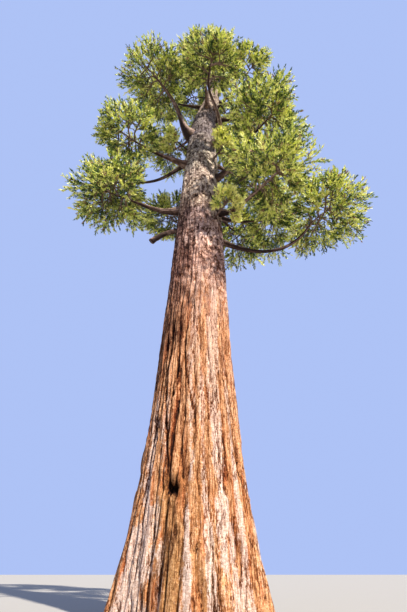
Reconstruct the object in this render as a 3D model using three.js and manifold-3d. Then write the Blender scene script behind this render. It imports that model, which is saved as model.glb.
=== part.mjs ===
// A giant sequoia, the whole tree above the ground, at 8/15 of its real size: a real tree 75 m tall stands
// 40 m here.
//
// The tree is a buttressed trunk that tapers to its tip, boughs that leave it in a golden-angle spiral and
// turn up at their ends, and one mass of foliage at the end of each bough. A mass is a stem that goes on from
// its bough, twigs that leave the stem by a seeded rule, and a tuft of sprays on each twig. A few small masses
// sit on the trunk itself, and one dead limb is broken off short.
//
// Units are millimetres and +Z is up. The origin is the middle of the flat cut under the trunk, at ground
// level. A person at the foot of the tree looks along +Y and has +X on the right. Bearings are degrees from
// +X to +Y.
import * as THREE from "three";
import { mergeVertices } from "three/addons/utils/BufferGeometryUtils.js";
import Module from "manifold-3d";

const wasm = await Module();
wasm.setup();

const TREE_TOP = 40000;
const GOLDEN_ANGLE = 137.508;
const JOINT_GAP = 0.3; // left between two pieces that meet
const UP = new THREE.Vector3(0, 0, 1);

// Trunk
const TRUNK_TOP = 39300;
const TRUNK_LEAN = new THREE.Vector3(0.01, 0, 1); // the way it goes up from the foot
const BOLE_RADIUS = 1140; // at the ground, without the flare
const BOLE_POWER = 2.5; // how late it tapers
const TIP_RADIUS = 35;
const FLARE = 560; // added to the radius at the ground
const FLARE_HEIGHT = 3700;
const FLARE_POWER = 1.15;
const LEADER_SHIFT = new THREE.Vector3(850, 180, 0); // how far the upper trunk stands from above the foot
const LEADER_FROM = 23500; // height where the trunk starts to swing over
const LEADER_TO = 32500;
const ROOT_LOBE_HEIGHT = 1700;
const ROOT_LOBES = [
  { count: 5, depth: 0.075, phase: 0.9, turn: 0 },
  { count: 8, depth: 0.045, phase: 2.4, turn: 0 },
];
const BOLE_FLUTES = [
  { count: 6, depth: 0.02, phase: 1.3, turn: 0.00009 },
  { count: 11, depth: 0.013, phase: 4.1, turn: -0.00006 },
];
// Long furrows in the bark of the lower trunk, in the order of their bearings. Each line gives heights and
// the bearings there.
const FURROWS = [
  { depth: 60, halfWidth: 2.5, line: [[0, -140], [2000, -141], [4000, -139], [7000, -142]] },
  { depth: 80, halfWidth: 3, line: [[0, -112], [2400, -112], [4600, -128], [8500, -133], [9500, -134]] },
  { depth: 60, halfWidth: 2.5, line: [[0, -40], [1000, -42], [2500, -48], [3600, -53], [6000, -55]] },
  { depth: 80, halfWidth: 3.5, line: [[0, 35], [2000, 31], [5000, 36], [9000, 33]] },
  { depth: 80, halfWidth: 3, line: [[0, 101], [2500, 104], [6000, 99], [10000, 102]] },
  { depth: 80, halfWidth: 3, line: [[0, 171], [2000, 167], [5000, 172], [8000, 170]] },
];
const FURROW_FADE = 0.6; // share of its height where a furrow starts to run out
const RIB_STEP = 15; // degrees between the trunk's edges from one furrow to the next
const TRUNK_RINGS = 23;
const RING_CROWDING = 1.5; // over 1 puts more rings near the ground

// Crown
const CROWN_RADIUS = 6900; // at its widest
const CROWN_WIDEST = 18000; // height of the widest part
const CROWN_END = TREE_TOP + 300; // height where its outline would close
const DOME_FULLNESS = 2.4;
const DOME_POWER = 0.68;
const NEAR_SIDE_LOSS = 0.06; // share by which the crown is shallower on the -Y side

// From the photograph's eye point the front of the trunk shows up to this slope, between these sides of its
// middle
const EYE = new THREE.Vector3(0, -10130, 853);
const BARE_SLOPE = 2.6;
const BARE_SIDES = [-1150, 650];
const SKY_SLOPE = 1.2; // on the left nothing hangs below this slope

// Boughs
const BOUGHS = 26;
const BOUGH_SEED = 7;
const LOWEST_BOUGH = 13100; // height where it leaves the trunk
const HIGHEST_BOUGH = 35600;
const BOUGH_SPACING_POWER = 0.95;
const FIRST_BEARING = 4;
const BEARING_SWING = 9;
const REACH_SPREAD = 0.06;
const BOUGH_RISE = [700, 2300]; // how far a bough climbs before its mass, from the lowest to the highest
const RISE_SPREAD = 0.2;
const BOUGH_TILT = [22, 58]; // degrees above level at the bough's end
const BOUGH_DIP = [-420, 260]; // how far it sags, or bows up, before its middle
const BOUGH_HANDLES = [0.45, 0.4]; // lengths of its curve's handles, as shares of its span
const BOUGH_RADIUS = [175, 85]; // where it leaves the trunk
const BOUGH_RADIUS_SPREAD = 0.22;
const BOUGH_END_SHARE = 0.5; // radius at the end, as a share of the radius at the trunk
const COLLAR_SHARE = 0.7; // swelling where it leaves the trunk
const COLLAR_LENGTH = 420;
const BOUGH_SWAY = 380; // sideways bend
const BOUGH_SIDES = 6;
const BOUGH_STEPS = 6;
// What the photograph shows of single boughs, by their place in the spiral: factors on the reach, the thickness
// and the size of the mass, and millimetres or degrees where a bough differs from the rule. Lowest is how far
// down its mass has tufts, on the scale of TUFT_LOWEST.
const AS_THE_RULE = { reach: 1, radius: 1, size: 1, lift: 0, rise: 0, turn: 0, sway: 0 };
const SHOWN_BOUGHS = new Map([
  // long and low on the right, sags and turns up
  [0, { reach: 1.22, radius: 0.64, size: 0.8, lift: 650, rise: 450, dip: -1650, tilt: 55, sway: 600 }],
  [1, { turn: 40, lift: 1500, size: 0.9 }], // to the left side, since the photograph shows sky behind it
  [2, { turn: 42, size: 1.06, lift: -100, rise: -1100, dip: -700 }], // off the bare front of the trunk
  [3, { size: 1.1, lift: 800 }],
  [4, { turn: -163, lift: -900 }], // behind the long low one, where the crown shows no sky
  [5, { turn: -13, reach: 0.97, size: 0.95, dip: -700 }],
  [6, { size: 1.15 }],
  [7, { turn: -42, lift: -600 }],
  [8, { size: 1.1 }],
  [9, { lift: -900, rise: -2900, dip: 300, tilt: 0 }], // thin, hangs down on the left
  // slender, winds up in front of the trunk from its right side, bare underneath
  [
    10,
    {
      turn: -25,
      reach: 0.92,
      radius: 0.95,
      size: 0.85,
      lift: -1000,
      rise: -200,
      dip: -350,
      tilt: 40,
      sway: 1200,
      lowest: -0.1,
    },
  ],
  [11, { size: 1.15 }],
  // stout, on the left
  [12, { turn: 2, reach: 1.04, radius: 1.55, size: 1.12, lift: -1600, rise: 1900, dip: 200, lowest: -0.35 }],
  [13, { reach: 1.14, size: 1.08, lift: 1700 }],
  [14, { size: 1.15 }],
  [15, { reach: 0.94 }],
  [16, { size: 1.15 }],
  [17, { size: 1.12 }],
  [18, { turn: 8, lift: -2600 }],
  [19, { size: 1.15 }],
  [20, { turn: -12, size: 1.2, lift: 1200 }], // in the gap on the left of the top
  [21, { turn: 12, lift: -900 }],
  [22, { size: 1.15 }],
  [24, { size: 1.1, lift: -2300 }],
]);

// Dead limb, broken off short
const STUB_HEIGHT = 13750;
const STUB_BEARING = 186;
const STUB_REACH = 2180;
const STUB_DROP = 1150;
const STUB_RADIUS = 115;
const STUB_SHAPE = [1.25, -0.4, 0.25]; // wide at the trunk, slimmer along, a little swollen at the blunt end
const STUB_BEND = { out: 0.66, drop: 0.02 };
const STUB_SIDES = 7;

// Masses of foliage
const MASS_SEED = 100;
const MASS_SIZE = [2900, 1650]; // half the width of a mass, from the lowest bough to the highest
const MASS_SIZE_SPREAD = 0.12;
const MASS_IN_CROWN = 0.55; // no mass is half as wide as more than this share of the crown's reach
const MASS_FLATNESS = 0.82; // height over width
const BOUGH_ENTRY = 0.55; // how far from its middle the bough enters, in half widths
const STEM_PAST_MIDDLE = 0.5;
const STEM_LIFT = 0.3;
const STEM_BEND = 0.4; // where the stem turns away from its bough's line, in half widths
const STEM_SIDES = 4;
const STEM_STEPS = 3;
const STEM_SHARE = 0.9; // its radius where it leaves the bough, of the bough's
const STEM_END_RADIUS = 45;
const TUFTS = 15;
const TUFT_TRIES = [1, 0.84, 0.68]; // a tuft without room is tried again nearer to the middle
const TUFT_LOWEST = -0.8; // lowest tuft, on a scale from -1 at the foot of the mass to 1 at its top
const TUFT_TRUNKWARD = -0.74; // none points further back to the trunk than this
const TUFT_ROOT = 0.5; // where a tuft starts, as a share of the way from the mass's middle to its outside
const TUFT_TIP_SPREAD = 0.08;
const TUFT_TURN_SPREAD = 0.25;
// Where on the stem a twig starts, by the side that its tuft is on
const TWIG_FOOT = { middle: 0.5, outward: 0.45, up: -0.1 };
const TWIG_FOOT_LIMITS = [0.12, 0.96];
const TUFT_NEEDLES = 3;
const TUFT_WIDTH = 0.58; // of its length, to the points of the needles
const TUFT_CORE = 0.26; // of its length, to the notches between them
const NEEDLE_FORWARD = 0.72; // of its length, where the needles end
const NOTCH_FORWARD = 0.4;
const TWIG_RADIUS = [16, 34]; // inside the stem and at the tuft
const LIMB_CLEARANCE = 60;
const CELL_MARGIN = 40; // kept between a mass and the border of its neighbour
const CELL_FLATNESS = 0.75;
const ROOM_STEPS = 6; // points tested along a twig or tuft
const TRUNK_POINT_SPACING = 300;
const TRUNK_KEEP_OFF = 1.1; // of the trunk's radius
const LIMB_POINT_STEPS = 24;

// Small masses that sit on the trunk itself: height, bearing and half width
const TRUNK_MASSES = [
  { name: "foliage_trunk_low", height: 13300, bearing: -50, size: 1000 },
  { name: "foliage_trunk_high", height: 19000, bearing: -46, size: 1100 },
  { name: "foliage_leader_right", height: 37300, bearing: 20, size: 1150 },
  { name: "foliage_leader_left", height: 38000, bearing: 165, size: 1300 },
  { name: "foliage_top", height: 38850, bearing: 275, size: 1120 },
  { name: "foliage_trunk_left", height: 20600, bearing: -152, size: 1000 },
];
const TRUNK_MASS_SEED = 200;
const TRUNK_MASS_STEM = 90; // radius of its stem in the bark
const TRUNK_MASS_TILT = 38;
const TRUNK_MASS_STAND = 0.62; // how far its middle is off the bark, in half widths

const barkMaterial = new THREE.MeshStandardMaterial({ color: 0xa9683f, roughness: 0.95, metalness: 0 });
const limbMaterial = new THREE.MeshStandardMaterial({ color: 0x7b5a4a, roughness: 0.95, metalness: 0 });
const foliageMaterial = new THREE.MeshStandardMaterial({ color: 0x7f9a38, roughness: 0.7, metalness: 0 });

const mix = (pair, share) => pair[0] + (pair[1] - pair[0]) * share;
const radians = (degrees) => (degrees * Math.PI) / 180;
const headingOf = (bearing) => new THREE.Vector3(Math.cos(radians(bearing)), Math.sin(radians(bearing)), 0);

// A repeatable stream of numbers from -1 to 1
function seeded(seed) {
  let state = seed >>> 0;
  return () => {
    state = (state + 0x6d2b79f5) >>> 0;
    let mixed = Math.imul(state ^ (state >>> 15), state | 1);
    mixed ^= mixed + Math.imul(mixed ^ (mixed >>> 7), mixed | 61);
    return ((mixed ^ (mixed >>> 14)) >>> 0) / 2147483648 - 1;
  };
}

// The middle of the trunk at a height
function trunkMiddle(height) {
  const share = THREE.MathUtils.smoothstep(height, LEADER_FROM, LEADER_TO);
  return TRUNK_LEAN.clone().multiplyScalar(height).addScaledVector(LEADER_SHIFT, share);
}

// The trunk's radius at a height, before its lobes and flutes
function roundRadius(height) {
  const bole = BOLE_RADIUS * Math.max(0, 1 - (height / TRUNK_TOP) ** BOLE_POWER);
  return bole + TIP_RADIUS + FLARE * Math.exp(-((height / FLARE_HEIGHT) ** FLARE_POWER));
}

function trunkRadius(height, around) {
  const wave = (w) => w.depth * Math.cos(w.count * around + w.phase + w.turn * height);
  const roots = ROOT_LOBES.reduce((sum, w) => sum + wave(w), 0) * Math.exp(-height / ROOT_LOBE_HEIGHT);
  const flutes = BOLE_FLUTES.reduce((sum, w) => sum + wave(w), 0);
  return roundRadius(height) * (1 + roots + flutes);
}

// The bearing of a furrow at a height
function furrowBearing({ line }, height) {
  const next = Math.max(1, line.findIndex(([top]) => top > height));
  const [[low, from], [high, to]] = height < line.at(-1)[0] ? [line[next - 1], line[next]] : line.slice(-2);
  return mix([from, to], Math.min(1, (height - low) / (high - low)));
}

// The trunk's edges around one ring: three for each furrow, its sides and its floor, and even ones between
function trunkRing(height) {
  const ring = [];
  FURROWS.forEach((furrow, i) => {
    const following = FURROWS[(i + 1) % FURROWS.length];
    const fullTurn = i + 1 < FURROWS.length ? 0 : 360;
    const floor = furrowBearing(furrow, height);
    const nextSide = furrowBearing(following, height) - following.halfWidth + fullTurn;
    const top = furrow.line.at(-1)[0];
    const open = 1 - THREE.MathUtils.smoothstep(height, FURROW_FADE * top, top);
    const side = floor + furrow.halfWidth;
    const turnAtGround = following.line[0][1] - furrow.line[0][1] + fullTurn;
    const steps = Math.round(turnAtGround / RIB_STEP);
    ring.push({ bearing: floor - furrow.halfWidth, cut: 0 }, { bearing: floor, cut: furrow.depth * open });
    for (let j = 0; j < steps; j++) ring.push({ bearing: mix([side, nextSide], j / steps), cut: 0 });
  });
  return ring;
}

// How far the crown reaches from the trunk's axis at a height and a bearing
function crownRadius(height, bearing) {
  const above = Math.max(0, (height - CROWN_WIDEST) / (CROWN_END - CROWN_WIDEST));
  const dome = Math.max(0, 1 - above ** DOME_FULLNESS) ** DOME_POWER;
  return CROWN_RADIUS * dome * (1 - NEAR_SIDE_LOSS * Math.max(0, -Math.sin(radians(bearing))));
}

// A closed solid through rings of points, each ring anticlockwise as seen from the next
function ringSolid(rings) {
  const sides = rings[0].length;
  const positions = rings.flat().flatMap((p) => [p.x, p.y, p.z]);
  const faces = [];
  for (let i = 0; i + 1 < rings.length; i++)
    for (let j = 0; j < sides; j++) {
      const [a, b] = [i * sides + j, i * sides + ((j + 1) % sides)];
      faces.push(a, b, b + sides, a, b + sides, a + sides);
    }
  const last = (rings.length - 1) * sides;
  for (let j = 1; j + 1 < sides; j++) faces.push(0, j + 1, j, last, last + j, last + j + 1);
  const geometry = new THREE.BufferGeometry();
  geometry.setAttribute("position", new THREE.Float32BufferAttribute(positions, 3));
  return geometry.setIndex(faces);
}

// A limb with a round section along a curve, its radius given along the way from 0 to 1
function limbSolid(curve, radiusAt, sides, steps) {
  const frames = curve.computeFrenetFrames(steps, false);
  const rings = [];
  for (let i = 0; i <= steps; i++) {
    const middle = curve.getPointAt(i / steps);
    const ring = [];
    for (let j = 0; j < sides; j++) {
      const turn = (2 * Math.PI * j) / sides;
      const spoke = frames.normals[i].clone().multiplyScalar(Math.cos(turn));
      spoke.addScaledVector(frames.binormals[i], Math.sin(turn));
      ring.push(middle.clone().addScaledVector(spoke, radiusAt(i / steps)));
    }
    rings.push(ring);
  }
  return ringSolid(rings);
}

// A twig with its tuft of sprays: a slim core that runs on to the tip, with needles that stand out of it
function tuftSolid(leaves, root, tip) {
  const along = tip.clone().sub(root);
  const length = along.length();
  along.normalize();
  const across = new THREE.Vector3().crossVectors(along, UP).normalize();
  const other = new THREE.Vector3().crossVectors(along, across);
  const spoke = (at, turn, radius) =>
    at
      .clone()
      .addScaledVector(across, Math.cos(turn) * radius)
      .addScaledVector(other, Math.sin(turn) * radius);
  const points = [];
  const step = Math.PI / TUFT_NEEDLES;
  for (let j = 0; j < TUFT_NEEDLES; j++) points.push(spoke(leaves, 2 * j * step, TWIG_RADIUS[0]));
  for (let j = 0; j < TUFT_NEEDLES; j++) points.push(spoke(root, 2 * j * step, TWIG_RADIUS[1]));
  for (let j = 0; j < 2 * TUFT_NEEDLES; j++) {
    const needle = j % 2 === 0;
    const place = root.clone().addScaledVector(along, length * (needle ? NEEDLE_FORWARD : NOTCH_FORWARD));
    points.push(spoke(place, j * step, length * (needle ? TUFT_WIDTH : TUFT_CORE)));
  }
  points.push(tip);
  const [twig, crown, last] = [TUFT_NEEDLES, 2 * TUFT_NEEDLES, 4 * TUFT_NEEDLES];
  const faces = [];
  for (let j = 1; j + 1 < TUFT_NEEDLES; j++) faces.push(0, j + 1, j);
  for (let j = 0; j < TUFT_NEEDLES; j++) {
    const next = (j + 1) % TUFT_NEEDLES;
    const [needle, notch, nextNeedle] = [crown + 2 * j, crown + 2 * j + 1, crown + 2 * next];
    faces.push(j, next, twig + next, j, twig + next, twig + j);
    faces.push(twig + j, notch, needle, twig + j, twig + next, notch, twig + next, nextNeedle, notch);
    faces.push(last, needle, notch, last, notch, nextNeedle);
  }
  return new THREE.BufferGeometry().setFromPoints(points).setIndex(faces);
}

function toSolid(geometry) {
  const bare = geometry.clone();
  bare.deleteAttribute("normal");
  bare.deleteAttribute("uv");
  const merged = mergeVertices(bare, 1e-3);
  return new wasm.Manifold(
    new wasm.Mesh({
      numProp: 3,
      vertProperties: new Float32Array(merged.attributes.position.array),
      triVerts: new Uint32Array(merged.index.array),
    }),
  );
}

function toGeometry(solid) {
  const mesh = solid.getMesh();
  const positions = new Float32Array(mesh.numVert * 3);
  for (let i = 0; i < mesh.numVert; i++)
    positions.set(mesh.vertProperties.subarray(i * mesh.numProp, i * mesh.numProp + 3), i * 3);
  const geometry = new THREE.BufferGeometry();
  geometry.setAttribute("position", new THREE.BufferAttribute(positions, 3));
  geometry.setIndex(new THREE.BufferAttribute(new Uint32Array(mesh.triVerts), 1));
  geometry.computeVertexNormals();
  return geometry;
}

// The biggest of the bodies in a solid, without loose scraps
function mainBody(solid) {
  return solid.decompose().reduce((best, body) => (body.volume() > best.volume() ? body : best));
}

// The trunk, wider by a given amount all round
function trunkSolid(grown) {
  const rings = [];
  for (let i = 0; i <= TRUNK_RINGS; i++) {
    const height = TRUNK_TOP * (i / TRUNK_RINGS) ** RING_CROWDING;
    const middle = trunkMiddle(height);
    rings.push(
      trunkRing(height).map(({ bearing, cut }) => {
        const radius = trunkRadius(height, radians(bearing)) - cut + grown;
        return headingOf(bearing).multiplyScalar(radius).add(middle);
      }),
    );
  }
  return ringSolid(rings);
}

// Every bough with its curve and its mass, from the lowest to the highest
function planBoughs() {
  const chance = seeded(BOUGH_SEED);
  const plans = [];
  for (let i = 0; i < BOUGHS; i++) {
    const shown = { ...AS_THE_RULE, ...SHOWN_BOUGHS.get(i) };
    const share = i / (BOUGHS - 1);
    const height = mix([LOWEST_BOUGH, HIGHEST_BOUGH], share ** BOUGH_SPACING_POWER) + shown.lift;
    const bearing = FIRST_BEARING + i * GOLDEN_ANGLE + BEARING_SWING * chance() + shown.turn;
    const rise = mix(BOUGH_RISE, share) * (1 + RISE_SPREAD * chance()) + shown.rise;
    const wanted = mix(MASS_SIZE, share) * (1 + MASS_SIZE_SPREAD * chance()) * shown.size;
    const reach = crownRadius(height + rise, bearing) * (1 + REACH_SPREAD * chance()) * shown.reach;
    const radius = mix(BOUGH_RADIUS, share) * (1 + BOUGH_RADIUS_SPREAD * chance()) * shown.radius;
    const sway = BOUGH_SWAY * chance() + shown.sway;
    const dip = shown.dip ?? mix(BOUGH_DIP, share);
    const tilt = radians(shown.tilt ?? mix(BOUGH_TILT, share));
    const size = Math.min(wanted, MASS_IN_CROWN * reach);

    const out = headingOf(bearing);
    const aside = headingOf(bearing + 90);
    const start = trunkMiddle(height);
    const middle = start.clone().addScaledVector(out, reach - size).addScaledVector(UP, rise);
    const rising = out.clone().multiplyScalar(Math.cos(tilt)).addScaledVector(UP, Math.sin(tilt));
    const end = middle.clone().addScaledVector(rising, -BOUGH_ENTRY * size);
    const span = start.distanceTo(end);
    const first = start.clone().addScaledVector(out, BOUGH_HANDLES[0] * span);
    first.addScaledVector(UP, dip).addScaledVector(aside, sway);
    const second = end.clone().addScaledVector(rising, -BOUGH_HANDLES[1] * span);
    second.addScaledVector(aside, sway / 2);
    const curve = new THREE.CubicBezierCurve3(start, first, second, end);
    const bareFrom = trunkRadius(height, radians(bearing));
    const lowest = shown.lowest ?? TUFT_LOWEST;
    const mass = { middle, size, out, lowest, start: end, heading: curve.getTangent(1), seed: MASS_SEED + i };
    plans.push({ curve, radius, span, bareFrom, mass });
  }
  return plans;
}

function boughRadius(plan, share) {
  const pastBark = Math.max(0, share * plan.span - plan.bareFrom);
  const collar = COLLAR_SHARE * Math.exp(-pastBark / COLLAR_LENGTH);
  return plan.radius * (1 - (1 - BOUGH_END_SHARE) * share + collar);
}

function planStub() {
  const out = headingOf(STUB_BEARING);
  const start = trunkMiddle(STUB_HEIGHT);
  const end = start.clone().addScaledVector(out, STUB_REACH).addScaledVector(UP, -STUB_DROP);
  const bend = start.clone().addScaledVector(out, STUB_BEND.out * STUB_REACH);
  bend.addScaledVector(UP, -STUB_BEND.drop * STUB_DROP);
  return { curve: new THREE.QuadraticBezierCurve3(start, bend, end) };
}

const stubRadius = (share) =>
  STUB_RADIUS * (STUB_SHAPE[0] + STUB_SHAPE[1] * share + STUB_SHAPE[2] * share ** 6);

// A mass that has no bough: its stem starts on the trunk's bark
function planTrunkMass({ height, bearing, size }, seed) {
  const out = headingOf(bearing);
  const tilt = radians(TRUNK_MASS_TILT);
  const heading = out.clone().multiplyScalar(Math.cos(tilt)).addScaledVector(UP, Math.sin(tilt));
  const start = trunkMiddle(height);
  const off = trunkRadius(height, radians(bearing)) + TRUNK_MASS_STAND * size;
  const climb = (off - roundRadius(height)) * Math.tan(tilt);
  const middle = start.clone().addScaledVector(out, off).addScaledVector(UP, climb);
  return { middle, size, out, lowest: TUFT_LOWEST, start, heading, seed, onTrunk: true };
}

// Points along every limb with their radii, to keep foliage off the wood
function limbPoints(boughs, stub) {
  const points = [];
  for (let height = 0; height < TRUNK_TOP; height += TRUNK_POINT_SPACING)
    points.push({ at: trunkMiddle(height), radius: TRUNK_KEEP_OFF * roundRadius(height) });
  for (let i = 0; i <= LIMB_POINT_STEPS; i++) {
    const share = i / LIMB_POINT_STEPS;
    points.push({ at: stub.curve.getPointAt(share), radius: stubRadius(share) });
    for (const plan of boughs)
      points.push({ owner: plan.mass, at: plan.curve.getPointAt(share), radius: boughRadius(plan, share) });
  }
  return points;
}

// Whether a point hides the front of the trunk, or the sky on its left, where the photograph shows them
function hidesWhatShows(at) {
  const ahead = at.y - EYE.y;
  const aside = (at.x * -EYE.y) / ahead;
  const slope = (at.z - EYE.z) / ahead;
  const hidesTrunk = at.y < 0 && slope < BARE_SLOPE && aside > BARE_SIDES[0] && aside < BARE_SIDES[1];
  return hidesTrunk || (at.x < 0 && slope < SKY_SLOPE);
}

// Whether a capsule stays in its mass's own cell, under the tree's top, and off every limb by its width
function hasRoom(mass, masses, limbs, from, to, radius, width) {
  const flat = (v) => v.clone().setZ(v.z / CELL_FLATNESS);
  for (let i = 0; i <= ROOM_STEPS; i++) {
    const at = from.clone().lerp(to, i / ROOM_STEPS);
    if (at.z + radius > TREE_TOP || hidesWhatShows(at)) return false;
    const own = flat(at).distanceTo(flat(mass.middle));
    for (const other of masses) {
      if (other === mass) continue;
      const apart = flat(mass.middle).distanceTo(flat(other.middle));
      const theirs = flat(at).distanceTo(flat(other.middle));
      if ((theirs ** 2 - own ** 2) / (2 * apart) < (radius + CELL_MARGIN) / CELL_FLATNESS) return false;
    }
    const nearWood = (limb) =>
      limb.at.distanceTo(at) < limb.radius + width + (limb.owner === mass ? JOINT_GAP : LIMB_CLEARANCE);
    if (limbs.some(nearWood)) return false;
  }
  return true;
}

// One mass: its stem, its twigs and a tuft on each twig, fused
function massSolid(mass, masses, limbs, stemRadius) {
  const chance = seeded(mass.seed);
  const { middle, size, out, heading } = mass;
  const aside = new THREE.Vector3().crossVectors(UP, out);
  const start = mass.start.clone().addScaledVector(heading, JOINT_GAP);
  const bend = start.clone().addScaledVector(heading, STEM_BEND * size);
  if (mass.onTrunk) bend.lerpVectors(start, middle, 0.5);
  const last = middle.clone().addScaledVector(out, STEM_PAST_MIDDLE * size);
  last.addScaledVector(UP, STEM_LIFT * size);
  const stem = new THREE.QuadraticBezierCurve3(start, bend, last);
  const slimming = (share) => mix([stemRadius, STEM_END_RADIUS], share);
  const parts = [toSolid(limbSolid(stem, slimming, STEM_SIDES, STEM_STEPS))];
  const firstTurn = Math.PI * chance();
  for (let k = 0; k < TUFTS; k++) {
    const up = mix([1, mass.lowest], (k + 0.5) / TUFTS);
    const around = firstTurn + k * radians(GOLDEN_ANGLE) + TUFT_TURN_SPREAD * chance();
    const tipShare = 1 + TUFT_TIP_SPREAD * chance();
    const ring = Math.sqrt(1 - up * up);
    const outward = Math.cos(around) * ring;
    if (outward < TUFT_TRUNKWARD) continue;
    const reach = out.clone().multiplyScalar(outward * size);
    reach.addScaledVector(aside, Math.sin(around) * ring * size);
    reach.addScaledVector(UP, up * size * MASS_FLATNESS);
    const foot = TWIG_FOOT.middle + TWIG_FOOT.outward * outward + TWIG_FOOT.up * up;
    const leaves = stem.getPointAt(THREE.MathUtils.clamp(foot, ...TWIG_FOOT_LIMITS));
    for (const share of TUFT_TRIES) {
      const root = middle.clone().addScaledVector(reach, TUFT_ROOT * share);
      const tip = middle.clone().addScaledVector(reach, tipShare * share);
      const width = TUFT_WIDTH * root.distanceTo(tip);
      if (!hasRoom(mass, masses, limbs, leaves, root, TWIG_RADIUS[1], TWIG_RADIUS[1])) continue;
      if (!hasRoom(mass, masses, limbs, root, tip, width / 2, width)) continue;
      parts.push(toSolid(tuftSolid(leaves, root, tip)));
      break;
    }
  }
  return mainBody(wasm.Manifold.union(parts));
}

function buildTree() {
  const tree = new THREE.Group();
  const add = (name, geometry, material) => {
    const mesh = new THREE.Mesh(geometry, material);
    mesh.name = name;
    tree.add(mesh);
  };
  const boughs = planBoughs();
  const stub = planStub();
  const trunkMasses = TRUNK_MASSES.map((plan, i) => planTrunkMass(plan, TRUNK_MASS_SEED + i));
  const masses = [...boughs.map((plan) => plan.mass), ...trunkMasses];
  const limbs = limbPoints(boughs, stub);
  const clearOfTrunk = toSolid(trunkSolid(JOINT_GAP));

  add("trunk", trunkSolid(0), barkMaterial);
  boughs.forEach((plan, i) => {
    const number = String(i + 1).padStart(2, "0");
    const limb = toSolid(limbSolid(plan.curve, (t) => boughRadius(plan, t), BOUGH_SIDES, BOUGH_STEPS));
    add("bough_" + number, toGeometry(mainBody(limb.subtract(clearOfTrunk))), limbMaterial);
    const stemRadius = STEM_SHARE * boughRadius(plan, 1);
    add("foliage_" + number, toGeometry(massSolid(plan.mass, masses, limbs, stemRadius)), foliageMaterial);
  });
  const stubLimb = toSolid(limbSolid(stub.curve, stubRadius, STUB_SIDES, BOUGH_STEPS));
  add("broken_limb", toGeometry(mainBody(stubLimb.subtract(clearOfTrunk))), limbMaterial);
  TRUNK_MASSES.forEach(({ name }, i) => {
    const whole = massSolid(trunkMasses[i], masses, limbs, TRUNK_MASS_STEM);
    add(name, toGeometry(mainBody(whole.subtract(clearOfTrunk))), foliageMaterial);
  });
  return tree;
}

export default buildTree();
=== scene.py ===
# The looks of the giant sequoia: bark with real relief on the trunk and limbs, and foliage that grows on
# from the limbs by the rule of the part's source, carried on to finer twigs and sprays. Metres, +Z up.
import math

import bpy
import numpy as np
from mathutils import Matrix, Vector


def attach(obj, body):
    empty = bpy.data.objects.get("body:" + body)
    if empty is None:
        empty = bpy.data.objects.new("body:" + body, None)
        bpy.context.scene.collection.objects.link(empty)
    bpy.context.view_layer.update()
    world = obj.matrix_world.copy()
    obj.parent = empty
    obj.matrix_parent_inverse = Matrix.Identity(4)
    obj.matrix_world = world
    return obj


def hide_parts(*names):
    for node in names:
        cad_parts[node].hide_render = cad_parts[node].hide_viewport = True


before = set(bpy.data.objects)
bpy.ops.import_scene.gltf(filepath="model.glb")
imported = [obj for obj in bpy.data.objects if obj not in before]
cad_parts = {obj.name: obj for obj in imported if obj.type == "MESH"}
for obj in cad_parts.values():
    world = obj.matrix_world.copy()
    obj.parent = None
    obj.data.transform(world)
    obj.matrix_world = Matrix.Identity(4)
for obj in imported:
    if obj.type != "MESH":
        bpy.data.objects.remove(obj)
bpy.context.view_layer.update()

UP = np.array([0.0, 0.0, 1.0])
FULL_TURN = 2 * math.pi
GOLDEN_ANGLE = math.radians(137.508)

# The camera, at a person's eye level in front of the trunk, looking up
CAMERA_PLACE = (0.0, -10.133, 0.853)
CAMERA_PITCH = 39.0
CAMERA_YAW = 2.0
IMAGE_HEIGHT = 612
FOCAL_PIXELS = 330.0  # the lens, in pixels of such an image
SENSOR = 36.0  # millimetres

# The tree's rule, as in the part's source
TREE_TOP = 40.0
JOINT_GAP = 0.0003
TRUNK_TOP = 39.3
TRUNK_LEAN = np.array([0.01, 0.0, 1.0])
BOLE_RADIUS = 1.14
BOLE_POWER = 2.5
TIP_RADIUS = 0.035
FLARE = 0.56
FLARE_HEIGHT = 3.7
FLARE_POWER = 1.15
LEADER_SHIFT = np.array([0.85, 0.18, 0.0])
LEADER_FROM = 23.5
LEADER_TO = 32.5
ROOT_LOBE_HEIGHT = 1.7
ROOT_LOBES = ((5, 0.075, 0.9, 0.0), (8, 0.045, 2.4, 0.0))  # count, depth, phase, turn with height
BOLE_FLUTES = ((6, 0.02, 1.3, 0.09), (11, 0.013, 4.1, -0.06))

CROWN_RADIUS = 6.9
CROWN_WIDEST = 18.0
CROWN_END = TREE_TOP + 0.3
DOME_FULLNESS = 2.4
DOME_POWER = 0.68
NEAR_SIDE_LOSS = 0.06

# What stays bare in front, as seen from an eye point: slopes are of the sight line, up against ahead
RULE_EYE = np.array([0.0, -10.13, 0.853])
BARE_SLOPE = 2.6
BARE_SIDES = (-1.15, 0.65)
SKY_SLOPE = 1.2

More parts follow.
